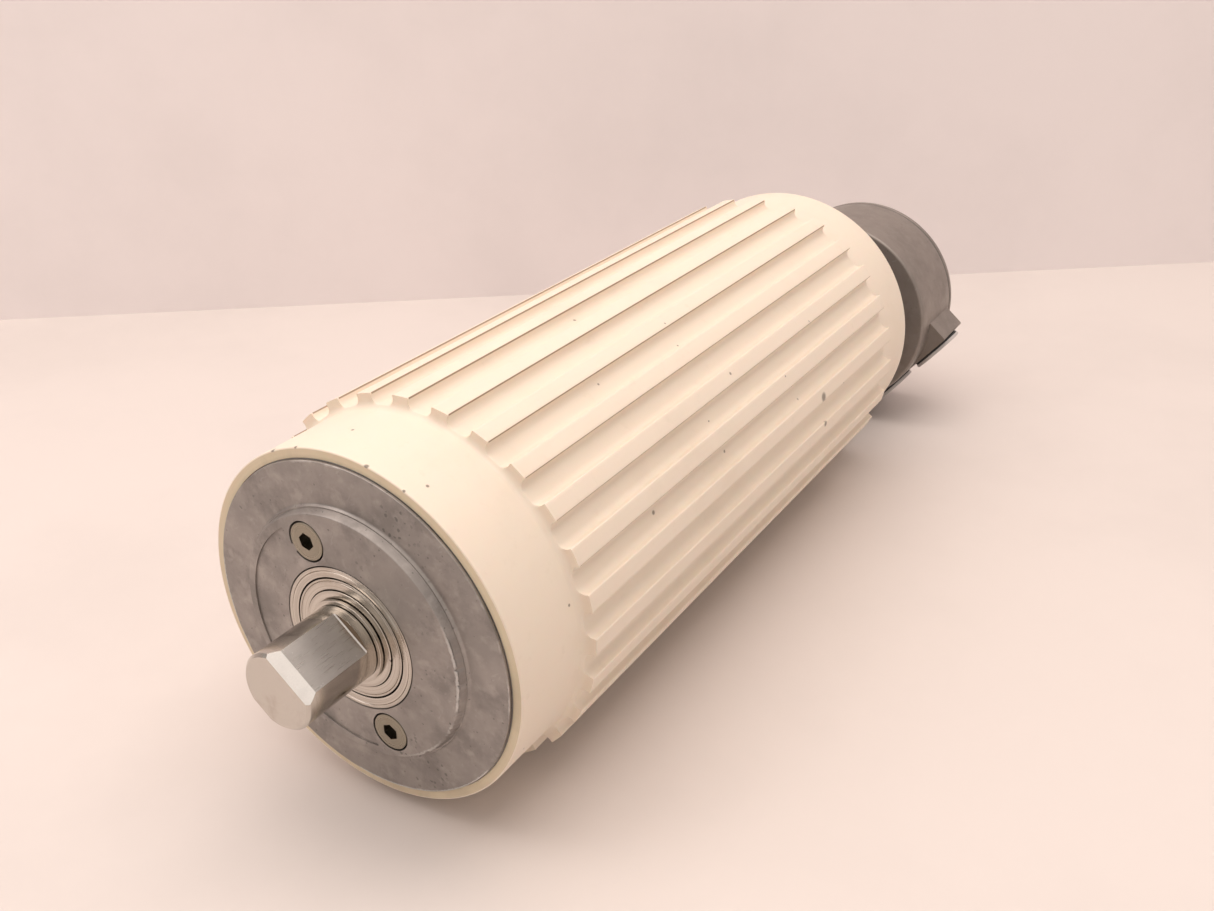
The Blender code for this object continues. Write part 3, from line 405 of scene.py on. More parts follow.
# Marks on the lagging: (angle round the drum in degrees, distance from its near end, radius, size)
LAGGING_MARKS = (
    (9, 197.6, RIB, 1.9), (-1.5, 198.5, RIB, 1.2), (17, 75.5, GROOVE, 0.8), (17, 124, GROOVE, 0.6),
    (13.5, 182, GROOVE, 0.7), (37, 142, RIB, 0.6), (85, 115, GROOVE, 0.6), (62, 134, RIB, 0.4),
    (54.5, 133.5, GROOVE, 0.45), (58.5, 88, GROOVE, 0.45), (25, 173, RIB, 0.4), (61.5, 7, BAND, 0.55),
    (11.5, 26.5, BAND, 0.5), (94, 14, BAND, 0.55), (113, 0.4, BAND, 0.9), (103, 0.3, BAND, 0.6),
    (77, 0.3, BAND, 0.8), (64, 0.2, BAND, 0.5),
)


def lagging_material():
    """Cream moulded rubber: matt and even, with faint grime, specks and a few scuffs, and a painted shade
    line along one edge of each rib.
    """
    cream, grime = (0.825, 0.72, 0.60), (0.60, 0.50, 0.38)
    # line: the colour of the painted shade line under each rib's land.
    dark, line = (0.10, 0.08, 0.06), (0.26, 0.18, 0.11)
    material, tree, shader = new_material("cream_lagging", cream, 0.5, Subsurface_Weight=0.10,
                                          Subsurface_Scale=0.003)
    dust = specks(tree, 95.0, 0.035, 0.16)
    colour = layered(tree, cream, (grime, cloudy(tree, 22.0, 0.5, 0.78), 0.20),
                     (grime, cloudy(tree, 190.0, 0.58, 0.8), 0.22), (line, rib_edge_painted_shade(tree), 0.9),
                     (dark, dust, 0.7))
    place = place_of(tree)
    for angle, along, radius, size in LAGGING_MARKS:
        x, z = spoke(radius, math.radians(angle))
        away = step(tree, "VectorMath", {0: place, 1: (x, NEAR_END + along * MM, z)},
                    operation="DISTANCE").outputs["Value"]
        colour = tint(tree, colour, dark, spread(tree, away, size * MM * 1.3, size * MM * 0.5), 0.75)
    bump = relief(tree, (fractal(tree, place, 55.0, 2.0), 0.0003, 0.12),
                  (fractal(tree, place, 1400.0, 2.0), 0.00003, 0.5), (dust, 0.0002, -0.5))
    sheen = spread(tree, cloudy(tree, 35.0, 0.3, 0.7), 0.0, 1.0, 0.44, 0.56)
    wire(tree, shader, Base_Color=colour, Roughness=sheen, Normal=bump)
    return material


def rib_edge_painted_shade(tree):
    """A painted shade line: thin and dark along the edge of each rib's land on the side turned from the
    light, where the shaded wall begins.
    """
    radius, outward, (x, _, z) = polar(tree, place_of(tree))
    turn = reckon(tree, "ARCTAN2", x, reckon(tree, "MULTIPLY", z, -1.0))
    pitch = reckon(tree, "FRACT", reckon(tree, "MULTIPLY", turn, RIB_COUNT / math.tau))
    # Painted shade: only the land edge turned from the light gets the line.
    side = reckon(tree, "LESS_THAN", pitch, 0.5)
    under = spread(tree, radius, RIB - 0.75 * MM, RIB - 0.35 * MM)
    over = spread(tree, radius, RIB - 0.01 * MM, RIB - 0.1 * MM)
    ribs = reckon(tree, "LESS_THAN", outward, HALF_LENGTH - BAND_WIDTH - 0.6 * MM)
    line = reckon(tree, "MULTIPLY", side, reckon(tree, "MULTIPLY", under, over))
    return reckon(tree, "MULTIPLY", line, ribs)


def lagging_cut_material():
    """The lagging's cut ends: darker, tan and slightly waxy, with the knife's rings."""
    tan, dark = (0.73, 0.615, 0.44), (0.26, 0.20, 0.13)
    material, tree, shader = new_material("cut_lagging", tan, 0.42, Subsurface_Weight=0.1,
                                          Subsurface_Scale=0.003)
    rings = effect(tree, TURNED, Fineness=2600.0)
    rim = effect(tree, RING_WEAR, Radius=BAND - 0.1 * MM, Width=0.35 * MM, Outward=HALF_LENGTH,
                 Reach=2 * MM, Ragged=0.15 * MM, Patchy=0.2)
    colour = layered(tree, tan, (dark, spread(tree, rings, 0.4, 0.75), 0.25),
                     (dark, cloudy(tree, 40.0, 0.45, 0.7), 0.25), (dark, rim, 0.8))
    wire(tree, shader, Base_Color=colour, Normal=relief(tree, (rings, 0.00008, 0.4)))
    return material


def cast_material(name, base, pits, wear_rings=(), rough=0.5, turned=False, metallic=1.0, mottle=1.0):
    """Cast aluminium: mottled grey, pitted, scratched, and rubbed bright along its edges."""
    dark, pale = (0.16, 0.155, 0.15), (0.86, 0.85, 0.83)
    material, tree, shader = new_material(name, base, rough, metallic)
    hollow = specks(tree, 330.0, 0.13, 0.07 * pits)
    crowd = reckon(tree, "MULTIPLY", cloudy(tree, 34.0, 0.54, 0.63), specks(tree, 560.0, 0.34, 0.5 * pits))
    lines = effect(tree, SCRATCHES, Scale=900.0, Length=22.0, Share=0.50)
    colour = layered(tree, base, (scaled(base, 0.74), cloudy(tree, 60.0, 0.45, 0.62), 0.7 * mottle),
                     (scaled(base, 1.25), cloudy(tree, 180.0, 0.48, 0.7), 0.6 * mottle),
                     (dark, hollow, 0.75), (dark, specks(tree, 900.0, 0.28, 0.10 * pits), 0.55),
                     (dark, crowd, 0.6), (pale, lines, 0.07))
    roughness = spread(tree, cloudy(tree, 75.0, 0.3, 0.7), 0.0, 1.0, rough - 0.08, rough + 0.10)
    skin = fractal(tree, place_of(tree), 700.0, 4.0, 0.65)
    bumps = [(fractal(tree, place_of(tree), 130.0, 3.0), 0.0004, 0.35), (skin, 0.00012, 0.35),
             (hollow, 0.0003, -0.8)]
    worn = None
    for radius, width, outward, ragged, patchy, part in wear_rings:
        rub = effect(tree, RING_WEAR, Radius=radius, Width=width, Outward=HALF_LENGTH - outward,
                     Reach=0.6 * MM, Ragged=ragged, Patchy=patchy, Facing=CHIPPED_AT, Part=part)
        colour = tint(tree, colour, pale, rub, 0.5)
        roughness = reckon(tree, "SUBTRACT", roughness, reckon(tree, "MULTIPLY", rub, 0.2))
        worn = rub if worn is None else reckon(tree, "MAXIMUM", worn, rub)
    if worn is not None:
        bumps.append((reckon(tree, "MULTIPLY", worn, skin), 0.0008, 0.8))
    if turned:
        bumps.append((effect(tree, TURNED, Fineness=4200.0), 0.00004, 0.5))
    bumps.append((lines, 0.00006, -0.4))
    wire(tree, shader, Base_Color=colour, Roughness=roughness, Normal=relief(tree, *bumps))
    return material


def turned_material(name, base, rough, fineness=6500.0, stain=(0.30, 0.24, 0.18), beside=(0.0, 0.0),
                    contrast=0.45, depth=0.45):
    """Steel off the lathe: fine rings that stretch its highlights, with a little staining."""
    material, tree, shader = new_material(name, base, rough, 1.0, Anisotropic=0.55)
    lines = effect(tree, TURNED, Fineness=fineness, Beside_X=beside[0], Beside_Z=beside[1])
    colour = layered(tree, base, (scaled(base, 0.74), spread(tree, lines, 0.35, 0.7), contrast),
                     (stain, cloudy(tree, 110.0, 0.52, 0.75), 0.35),
                     ((0.05, 0.04, 0.035), specks(tree, 420.0, 0.25, 0.03), 0.7))
    wire(tree, shader, Base_Color=colour, Normal=relief(tree, (lines, 0.00003, depth)),
         Roughness=spread(tree, lines, 0.2, 0.8, rough - 0.05, rough + 0.08),
         Tangent=step(tree, "Tangent", direction_type="RADIAL", axis="Y").outputs[0])
    return material


def milled_material(name, base, rough):
    """Milled and ground steel: straight cutter lines along the shaft, nicks and scratches."""
    material, tree, shader = new_material(name, base, rough, 1.0)
    place = step(tree, "Mapping", {"Vector": place_of(tree), "Scale": (1.0, 0.03, 1.0)})
    lines = fractal(tree, place.outputs[0], 4200.0, 2.0)
    shade = scaled(base, 0.8)
    nicks = effect(tree, SCRATCHES, Scale=1300.0, Length=30.0, Share=0.50)
    colour = layered(tree, base, (shade, spread(tree, lines, 0.4, 0.65), 0.2),
                     (shade, cloudy(tree, 90.0, 0.45, 0.7), 0.5), ((0.85, 0.83, 0.80), nicks, 0.6))
    wire(tree, shader, Base_Color=colour,
         Roughness=spread(tree, lines, 0.25, 0.75, rough - 0.04, rough + 0.08),
         Normal=relief(tree, (lines, 0.00001, 0.1), (nicks, 0.00005, -0.5)))
    return material


def moulded_material(name, base, rough, grain=1600.0):
    """Moulded plastic or rubber with a fine grain, dust and dull patches."""
    material, tree, shader = new_material(name, base, rough)
    dusty = tuple(0.75 * value + 0.06 for value in base)
    patches = cloudy(tree, 90.0, 0.42, 0.72)
    wire(tree, shader, Base_Color=tint(tree, base, dusty, patches, 0.6),
         Roughness=spread(tree, patches, 0.0, 1.0, rough - 0.06, rough + 0.12),
         Normal=relief(tree, (fractal(tree, place_of(tree), grain, 2.0), 0.00006, 0.5)))
    return material


def stacked_material(name, base, rough, pitch):
    """Thin steel sheets stacked along the axis."""
    material, tree, shader = new_material(name, base, rough, 1.0)
    sheets = step(tree, "TexWave", {"Vector": place_of(tree), "Scale": math.tau / 20 / pitch,
                                    "Distortion": 0.3}, bands_direction="Y").outputs["Fac"]
    colour = layered(tree, base, (scaled(base, 0.45), spread(tree, sheets, 0.75, 0.95), 1.0),
                     ((0.20, 0.12, 0.07), cloudy(tree, 60.0, 0.5, 0.75), 0.4))
    wire(tree, shader, Base_Color=colour, Normal=relief(tree, (sheets, 0.0001, -0.6)))
    return material


def wound_material(name, base):
    """Varnished copper wire, laced into a bundle."""
    material, tree, shader = new_material(name, base, 0.3, 0.85, Coat_Weight=0.5)
    place = step(tree, "Mapping", {"Vector": place_of(tree), "Rotation": (0.5, 0.3, 0.2)})
    wires = step(tree, "TexWave", {"Vector": place.outputs[0], "Scale": 420.0, "Distortion": 6.0,
                                   "Detail": 2.0}, bands_direction="DIAGONAL").outputs["Fac"]
    colour = tint(tree, base, scaled(base, 0.35), spread(tree, wires, 0.55, 0.95))
    wire(tree, shader, Base_Color=colour, Normal=relief(tree, (wires, 0.0004, -0.8)))
    return material


LAGGING = lagging_material()
LAGGING_CUT = lagging_cut_material()
HOUSING_METAL = cast_material(
    "cast_housing", (0.40, 0.368, 0.347), 1.0,
    [(BOSS - 0.3 * MM, 0.7 * MM, BOSS_FACE, 1.2 * MM, 0.38, 0.45),
     (HOUSING_EDGE - 0.2 * MM, 0.5 * MM, FACE, 0.9 * MM, 0.46, -2.0)],
    0.58, turned=True)
TUBE_STEEL = cast_material("tube_steel", (0.33, 0.31, 0.30), 0.3, rough=0.42, turned=True)
BOX_METAL = cast_material("cast_box", (0.315, 0.28, 0.255), 0.3, rough=0.46, metallic=0.75, mottle=0.45)
INNER_CAST = cast_material("cast_inner", (0.48, 0.47, 0.46), 0.5, rough=0.45)
RING_STEEL = turned_material("ring_steel", (0.62, 0.57, 0.51), 0.20, 1900.0, contrast=1.0)
SHAFT_STEEL = turned_material("shaft_steel", (0.60, 0.56, 0.51), 0.17, 2600.0, contrast=0.2, depth=0.12)
FLAT_STEEL = milled_material("milled_steel", (0.56, 0.53, 0.505), 0.30)
# A much lighter copy of the milled steel: a painted reflection on the shaft's end chamfer and a painted
# highlight on the flats' fillets.
PAINTED_HIGHLIGHT_STEEL = milled_material("steel_painted_highlight", (0.82, 0.78, 0.74), 0.34)
PLUG_STEEL = [turned_material(f"plug_steel_{number}", (0.335, 0.30, 0.24), 0.30, 2500.0,
                              beside=spoke(PLUG_CIRCLE, math.radians(angle)))
              for number, angle in enumerate(PLUG_ANGLES, start=1)]
# Near-black for the walls of the plugs' hex sockets.
SOCKET_BLACK = moulded_material("darkened_socket", (0.02, 0.018, 0.016), 0.4)
FASTENER_STEEL = milled_material("fastener_steel", (0.55, 0.54, 0.52), 0.30)
BEARING_STEEL = turned_material("bearing_steel", (0.56, 0.55, 0.54), 0.15)
GEAR_STEEL = milled_material("gear_steel", (0.34, 0.33, 0.32), 0.35)
SHEET_STEEL = stacked_material("sheet_steel", (0.27, 0.27, 0.29), 0.42, 1.0 * MM)
COPPER = wound_material("copper_wire", (0.46, 0.19, 0.08))
WASHER_COPPER = turned_material("washer_copper", (0.60, 0.30, 0.16), 0.30)
BLACK_RUBBER = moulded_material("black_rubber", (0.025, 0.025, 0.025), 0.65)
SEAL_RUBBER = moulded_material("seal_rubber", (0.16, 0.145, 0.135), 0.6)
CAP_PLASTIC = moulded_material("cap_plastic", (0.50, 0.46, 0.45), 0.42)
# A dark brown copy of the turned steel: painted shade on the shoulders that end the flats.
PAINTED_SHADE_STEEL = turned_material("steel_painted_shade", (0.27, 0.20, 0.14), 0.25)
GREY_PLASTIC = moulded_material("grey_plastic", (0.60, 0.60, 0.58), 0.48)
BRASS = turned_material("brass", (0.66, 0.48, 0.20), 0.28)


# ---------------------------------------------------------------------------- shape helpers

def settle(piece, materials, angle=32.0):
    """Smooth shading up to an angle, and the materials."""
    for material in materials:
        piece.data.materials.append(material)
    piece.data.shade_smooth()
    piece.data.set_sharp_from_angle(angle=math.radians(angle))
    return piece


def placed(name, data):
    """An object in the scene."""
    thing = bpy.data.objects.new(name, data)
    bpy.context.scene.collection.objects.link(thing)
    return thing


def from_shape(name, shape, matrix):
    """A piece from a bmesh, put in its place."""
    bmesh.ops.transform(shape, matrix=matrix, verts=shape.verts)
    bmesh.ops.recalc_face_normals(shape, faces=shape.faces)
    mesh = bpy.data.meshes.new(name)
    shape.to_mesh(mesh)
    shape.free()
    return placed(name, mesh)


def softened(outline, steps=4):
    """The outline, with an arc at each corner whose point has a third value, its radius."""
    points = []
    for i, (x, y, *radius) in enumerate(outline):
        corner = Vector((x, y))
        if not radius:
            points.append(corner)
            continue
        before = Vector(outline[i - 1][:2]) - corner
        after = Vector(outline[(i + 1) % len(outline)][:2]) - corner
        reach = radius[0] / math.tan(before.angle(after) / 2)
        reach = min(reach, 0.48 * before.length, 0.48 * after.length)
        start, end = corner + before.normalized() * reach, corner + after.normalized() * reach
        for k in range(steps + 1):
            t = k / steps
            points.append(start * (1 - t) ** 2 + corner * 2 * t * (1 - t) + end * t ** 2)
    return points


def turned(name, outline, matrix=DRUM_AXES, facets=ROUND):
    """A solid turned about its own z from a closed outline of (radius, z) or (radius, z, rounding)."""
    shape = bmesh.new()
    rings = []
    for radius, z in softened(outline):
        turns = range(1 if radius < 1e-7 else facets)
        rings.append([shape.verts.new((*spoke(radius, math.tau * i / facets), z)) for i in turns])
    for one, two in zip(rings, rings[1:] + rings[:1]):
        if len(one) == 1 and len(two) == 1:
            continue
        for i in range(facets):
            j = (i + 1) % facets
            corners = [one[i % len(one)], one[j % len(one)], two[j % len(two)], two[i % len(two)]]
            shape.faces.new(list(dict.fromkeys(corners)))
    return from_shape(name, shape, matrix)


def prism(name, outline, z0, z1, matrix):
    """A flat outline of (x, y) given a thickness."""
    shape = bmesh.new()
    low = [shape.verts.new((x, y, z0)) for x, y in outline]
    high = [shape.verts.new((x, y, z1)) for x, y in outline]
    shape.faces.new(low)
    shape.faces.new(high)
    for i in range(len(outline)):
        j = (i + 1) % len(outline)
        shape.faces.new((low[i], low[j], high[j], high[i]))
    return from_shape(name, shape, matrix)


def brick(name, low, high, matrix):
    """A box between two corners."""
    outline = [(low[0], low[1]), (high[0], low[1]), (high[0], high[1]), (low[0], high[1])]
    return prism(name, outline, low[2], high[2], matrix)


def carve(piece, tool, operation="DIFFERENCE"):
    """Cuts or joins a piece with a tool, which is used up."""
    boolean = piece.modifiers.new("carve", "BOOLEAN")
    boolean.object = tool
    boolean.operation = operation
    boolean.solver = "EXACT"
    graph = bpy.context.evaluated_depsgraph_get()
    piece.data = bpy.data.meshes.new_from_object(piece.evaluated_get(graph))
    piece.modifiers.clear()
    bpy.data.objects.remove(tool)


def drill(piece, radius, z0, z1, matrix, facets=SMALL_ROUND):
    """A round hole along the matrix's z."""
    carve(piece, turned("drill", [(0, z0), (radius, z0), (radius, z1), (0, z1)], matrix, facets))


def crisp(piece, width, segments=2, angle=30.0):
    """A narrow rounding along the sharp edges."""
    bevel = piece.modifiers.new("edge", "BEVEL")
    bevel.width = width
    bevel.segments = segments
    bevel.limit_method = "ANGLE"
    bevel.angle_limit = math.radians(angle)
    bevel.harden_normals = True
    bevel.miter_outer = "MITER_ARC"


def hexagon(across_flats, start=0.0):
    """The corners of a hexagon."""
    return [spoke(across_flats / math.sqrt(3), start + math.tau * i / 6) for i in range(6)]


def stand_in(piece, body, slot, *nodes):
    """The piece rides on a body in place of CAD nodes."""
    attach(piece, body)
    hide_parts(*nodes)
    return piece


def at_angle(radius, degrees):
    """A place in the drum's own x and y, at an angle counted from +X towards +Z."""
    x, z = spoke(radius, math.radians(degrees))
    return Vector((x, -z))


def beside(place, matrix=DRUM_AXES):
    """The frame moved sideways to a place in its own x and y."""
    return matrix @ Matrix.Translation((place[0], place[1], 0))


# ---------------------------------------------------------------------------- lagging and tube

def rib_profile():
    """One pitch of the ribbed section as (angle, radius): a round-bottomed groove between half lands."""
    half_pitch = math.pi / RIB_COUNT
    half_groove = RIB * math.tan(half_pitch) - RIB_LAND / 2
    floor = half_groove - GROOVE_ROUND
    points = [(0.0, GROOVE), (0.5 * floor, GROOVE)]
    for k in range(8):
        turn = math.pi / 2 * k / 7
        points.append((floor + GROOVE_ROUND * math.sin(turn),
                       GROOVE + GROOVE_ROUND * (1 - math.cos(turn))))
    shoulder = half_groove + LAND_ROUND
    top = math.sqrt(RIB ** 2 - shoulder ** 2)
    for k in range(4):
        turn = math.pi / 2 * k / 3
        points.append((shoulder - LAND_ROUND * math.cos(turn), top - LAND_ROUND * (1 - math.sin(turn))))
    side = [(math.atan2(x, y), math.hypot(x, y)) for x, y in points]
    edge = side[-1][0]
    for k in range(1, 4):
        side.append((edge + (half_pitch - edge) * k / 3, RIB))
    left = [(-angle, radius) for angle, radius in reversed(side[1:])]
    return left[1:] + side


CUT_FACE = 1                 # the place of the cut ends' material on the lagging


def lagging():
    """The rubber cover, lofted along the drum: the ribs are cut off by a tool that leaves a hollow."""
    profile = rib_profile()
    section = []
    for i in range(RIB_COUNT):
        turn = -math.pi / 2 + math.tau * i / RIB_COUNT
        section += [(turn + angle, radius) for angle, radius in profile]
    inner = TUBE_OUTER + 0.12 * MM
    hollow = [(RIB_END_ROUND * math.sin(a), RIB_END_ROUND * (1 - math.cos(a)))
              for a in (math.pi / 2 * k / 9 for k in range(10))]
    run = [(0.0, inner), (0.0, BAND - 0.5 * MM), (0.05 * MM, BAND - 0.2 * MM), (0.2 * MM, BAND - 0.05 * MM),
           (0.5 * MM, BAND), (4 * MM, BAND)]
    start = BAND_WIDTH - RIB_END_ROUND
    run += [(start + along, BAND + rise) for along, rise in hollow]
    run += [(BAND_WIDTH + 0.02 * MM, BAND + (RIB - BAND) * k / 5 + 0.1 * MM) for k in range(3, 6)]
    length = FAR_END - NEAR_END
    whole = [(NEAR_END + along, limit) for along, limit in run]
    whole += [(NEAR_END + length * k / 8, RIB * 1.1) for k in range(1, 8)]
    whole += [(FAR_END - along, limit) for along, limit in reversed(run)]
    shape = bmesh.new()
    rings = []
    for y, limit in whole:
        ring = []
        for angle, radius in section:
            x, z = spoke(min(radius, limit), angle)
            ring.append(shape.verts.new((x, y, z)))
        rings.append(ring)
    count = len(section)
    for index, (one, two) in enumerate(zip(rings, rings[1:] + rings[:1])):
        cut_end = index == 0 or index == len(rings) - 2
        for i in range(count):
            j = (i + 1) % count
            face = shape.faces.new((one[i], one[j], two[j], two[i]))
            face.material_index = CUT_FACE if cut_end else 0
    piece = from_shape("lagging_cover", shape, Matrix.Identity(4))
    settle(piece, [LAGGING, LAGGING_CUT], 38.0)
    stand_in(piece, "drum", "cream_lagging", "lagging")


def drum_tube():
    """The steel shell, bored out at each end for a cap whose lip covers the shell's end."""
    edge = 0.15 * MM
    piece = turned("drum_shell", [
        (TUBE_SEAT, NEAR_END, edge), (TUBE_OUTER, NEAR_END, edge), (TUBE_OUTER, FAR_END, edge),
        (TUBE_SEAT, FAR_END, edge), (TUBE_SEAT, FAR_END - SEAT_DEPTH), (TUBE_BORE, FAR_END - SEAT_DEPTH),
        (TUBE_BORE, NEAR_END + SEAT_DEPTH), (TUBE_SEAT, NEAR_END + SEAT_DEPTH)])
    stand_in(settle(piece, [TUBE_STEEL]), "drum", "stainless_steel", "drum_tube")


# ---------------------------------------------------------------------------- end housings

def depths(end, sense):
    """A function that turns a depth into the drum into a station on its axis."""
    return lambda depth: end + sense * depth


def end_housing(name, end, sense):
    """The cast cap: a flat rim with a lip, a raised boss with a soft foot, and the hub behind."""
    at = depths(end, sense)
    seal_seat = SEAL_CASE + 0.35 * MM
    lip_end = -0.1 * MM
    outline = [
        (seal_seat, BOSS_FACE, 0.15 * MM), (BOSS, BOSS_FACE, 0.5 * MM), (BOSS_FOOT, FOOT_DEPTH),
        (BOSS_FOOT + 0.4 * MM, FOOT_DEPTH, 0.15 * MM), (BOSS_FOOT + 0.9 * MM, FACE, 1.0 * MM),
        (HOUSING_EDGE, FACE, 0.35 * MM), (HOUSING_EDGE, lip_end, 0.1 * MM), (HOUSING_SEAT, lip_end),
        (HOUSING_SEAT, SEAT_END), (SPIGOT, SEAT_END), (SPIGOT, SPIGOT_DEPTH), (SPIGOT_BORE, SPIGOT_DEPTH),
        (SPIGOT_BORE, WEB_DEPTH), (HUB, WEB_DEPTH), (HUB, HUB_DEPTH), (HUB_BORE, HUB_DEPTH),
        (HUB_BORE, HUB_STEP), (seal_seat, HUB_STEP)]
    return turned(name, [(point[0], at(point[1]), *point[2:]) for point in outline], facets=2 * ROUND)


def chip_edge(housing):
    """The boss's front edge is knocked about on its lower right side."""
    for vertex in housing.data.vertices:
        x, y, z = vertex.co
        radius = math.hypot(x, z)
        depth = y - NEAR_END - BOSS_FACE
        if radius < BOSS - 0.6 * MM or radius > BOSS_FOOT or depth > 0.45 * MM:
            continue
        turn = math.atan2(z, x)
        worn = max(0.0, math.cos(min(math.pi, 1.6 * abs(turn - CHIPPED_AT))))
        chip = max(0.0, noise.noise(Vector((90 * turn, 0.5, 0.0))) + 0.1) * 0.8 * MM * worn
        drop = 0.5 * chip if depth > 0.02 * MM else 0.0
        vertex.co = Vector((x * (1 - chip / radius), y + drop, z * (1 - chip / radius)))


def label_field(housing):
    """The shallow crescent on the front boss, left blank."""
    count = 48
    sweep = [FIELD_FROM + (FIELD_TO - FIELD_FROM) * k / count for k in range(count + 1)]
    outline = [at_angle(FIELD_OUTER, a) for a in sweep]
    outline += [at_angle(FIELD_INNER, a) for a in reversed(sweep)]
    face = NEAR_END + BOSS_FACE
    carve(housing, prism("field", outline, face - 1 * MM, face + FIELD_DEPTH, DRUM_AXES))


def oil_plug(housing, number, angle):
    """A flush plug with a hex socket in a shadow gap, and the copper washer under its head."""
    place = at_angle(PLUG_CIRCLE, angle)
    matrix = beside(place)
    face = NEAR_END + BOSS_FACE
    outside = face - 1 * MM
    mouth = PLUG_HEAD + PLUG_CLEARANCE
    seat = face + WASHER_SEAT
    bore = PLUG_THREAD + GAP
    hole = [(0, outside), (mouth, outside), (mouth, seat), (bore, seat), (bore, face + 20 * MM),
            (0, face + 20 * MM)]
    carve(housing, turned("hole", hole, matrix, SMALL_ROUND))
    plug = turned(f"oil_plug_head_{number}", [
        (0, face), (PLUG_HEAD, face, 0.35 * MM), (PLUG_HEAD, face + PLUG_HEAD_DEPTH),
        (PLUG_THREAD, face + PLUG_HEAD_DEPTH), (PLUG_THREAD, face + PLUG_LENGTH), (0, face + PLUG_LENGTH)],
        matrix, SMALL_ROUND)
    socket = hexagon(PLUG_HEX, math.radians(17.0 * number))
    carve(plug, prism("socket", socket, outside, face + PLUG_SOCKET_DEPTH, matrix))
    corner = PLUG_HEX / math.sqrt(3)
    cone = [(0, outside), (corner + 0.5 * MM, outside), (0, face + 2.4 * MM)]
    carve(plug, turned("mouth", cone, matrix, SMALL_ROUND))
    # The socket's walls are painted near-black.
    darkened = 1
    settle(plug, [PLUG_STEEL[number - 1], SOCKET_BLACK])
    for side in plug.data.polygons:
        middle = matrix @ Vector((0, 0, side.center.y))
        if side.center.y > face + 0.5 * MM and (side.center - middle).length < SOCKET_SHADE:
            side.material_index = darkened
    stand_in(plug, "drum", "machined_steel", f"oil_plug_{number}")


def seal_rings(name, end, sense):
    """The rings round a shaft: seal case on the drum, deflector, collar and circlip on the shaft."""
    at = depths(end, sense)
    fine = 0.18 * MM

    def ring(label, outline, facets=ROUND):
        return turned(f"{name}_{label}", [(r, at(d), *rounding) for r, d, *rounding in outline],
                      facets=facets)

    case = ring("seal_ring", [
        (SEAL_CASE_INNER, BOSS_FACE + 0.25 * MM, fine), (SEAL_CASE_INNER + 1.1 * MM, BOSS_FACE, fine),
        (SEAL_CASE - 1.35 * MM, BOSS_FACE), (SEAL_CASE - 1.2 * MM, BOSS_FACE + 0.2 * MM),
        (SEAL_CASE - 1.05 * MM, BOSS_FACE), (SEAL_CASE, BOSS_FACE, fine), (SEAL_CASE, -0.2 * MM),
        (SEAL_CASE_INNER, -0.2 * MM)])
    stand_in(settle(case, [RING_STEEL]), "drum", "stainless_steel", f"{name}_seal_case")
    face = COLLAR_FACE + 0.4 * MM
    groove = 0.35 * MM
    deflector = ring("deflector_ring", [
        (COLLAR + GAP, face, fine), (DEFLECTOR - 0.9 * MM, face + 0.1 * MM),
        (DEFLECTOR - 0.75 * MM, face + groove), (DEFLECTOR - 0.6 * MM, face + 0.1 * MM),
        (DEFLECTOR, face, fine), (DEFLECTOR, -1.3 * MM), (COLLAR + GAP, -1.3 * MM)])
    stand_in(settle(deflector, [RING_STEEL]), "fixed_shafts", "stainless_steel", f"{name}_deflector")
    inner = SHAFT + GAP
    collar = ring("shaft_collar", [
        (inner, COLLAR_FACE + 0.3 * MM, fine), (inner + 0.6 * MM, COLLAR_FACE, fine),
        (COLLAR, COLLAR_FACE, fine), (COLLAR, -1 * MM), (DEFLECTOR, -1 * MM), (DEFLECTOR, -0.2 * MM),
        (inner, -0.2 * MM)])
    stand_in(settle(collar, [RING_STEEL]), "fixed_shafts", "stainless_steel", f"{name}_collar")
    clip_face = COLLAR_FACE - GAP
    clip = ring("retaining_ring", [
        (SHAFT - 0.6 * MM, clip_face), (SHAFT + 1.4 * MM, clip_face, fine),
        (SHAFT + 1.4 * MM, clip_face - 1.2 * MM, fine), (SHAFT - 0.6 * MM, clip_face - 1.2 * MM)])
    stations = sorted((at(clip_face + 1 * MM), at(clip_face - 2 * MM)))
    carve(clip, brick("mouth", (-SHAFT - 3 * MM, -2.5 * MM, stations[0]),
                      (3 * MM - SHAFT, 2.5 * MM, stations[1]), FLAT_AXES))
    stand_in(settle(clip, [RING_STEEL]), "fixed_shafts", "machined_steel", f"{name}_circlip")


def end_caps():
    """Both housings, the front one with its plugs and label field."""
    front = end_housing("front_cap", NEAR_END, 1)
    chip_edge(front)
    label_field(front)
    for number, angle in enumerate(PLUG_ANGLES, start=1):
        oil_plug(front, number, angle)
    rear = end_housing("rear_cap", FAR_END, -1)
    for name, piece, end, sense in (("front", front, NEAR_END, 1), ("rear", rear, FAR_END, -1)):
        settle(piece, [HOUSING_METAL])
        stand_in(piece, "drum", "cast_aluminium", f"{name}_end_housing")
        seal_rings(name, end, sense)


# ---------------------------------------------------------------------------- shafts

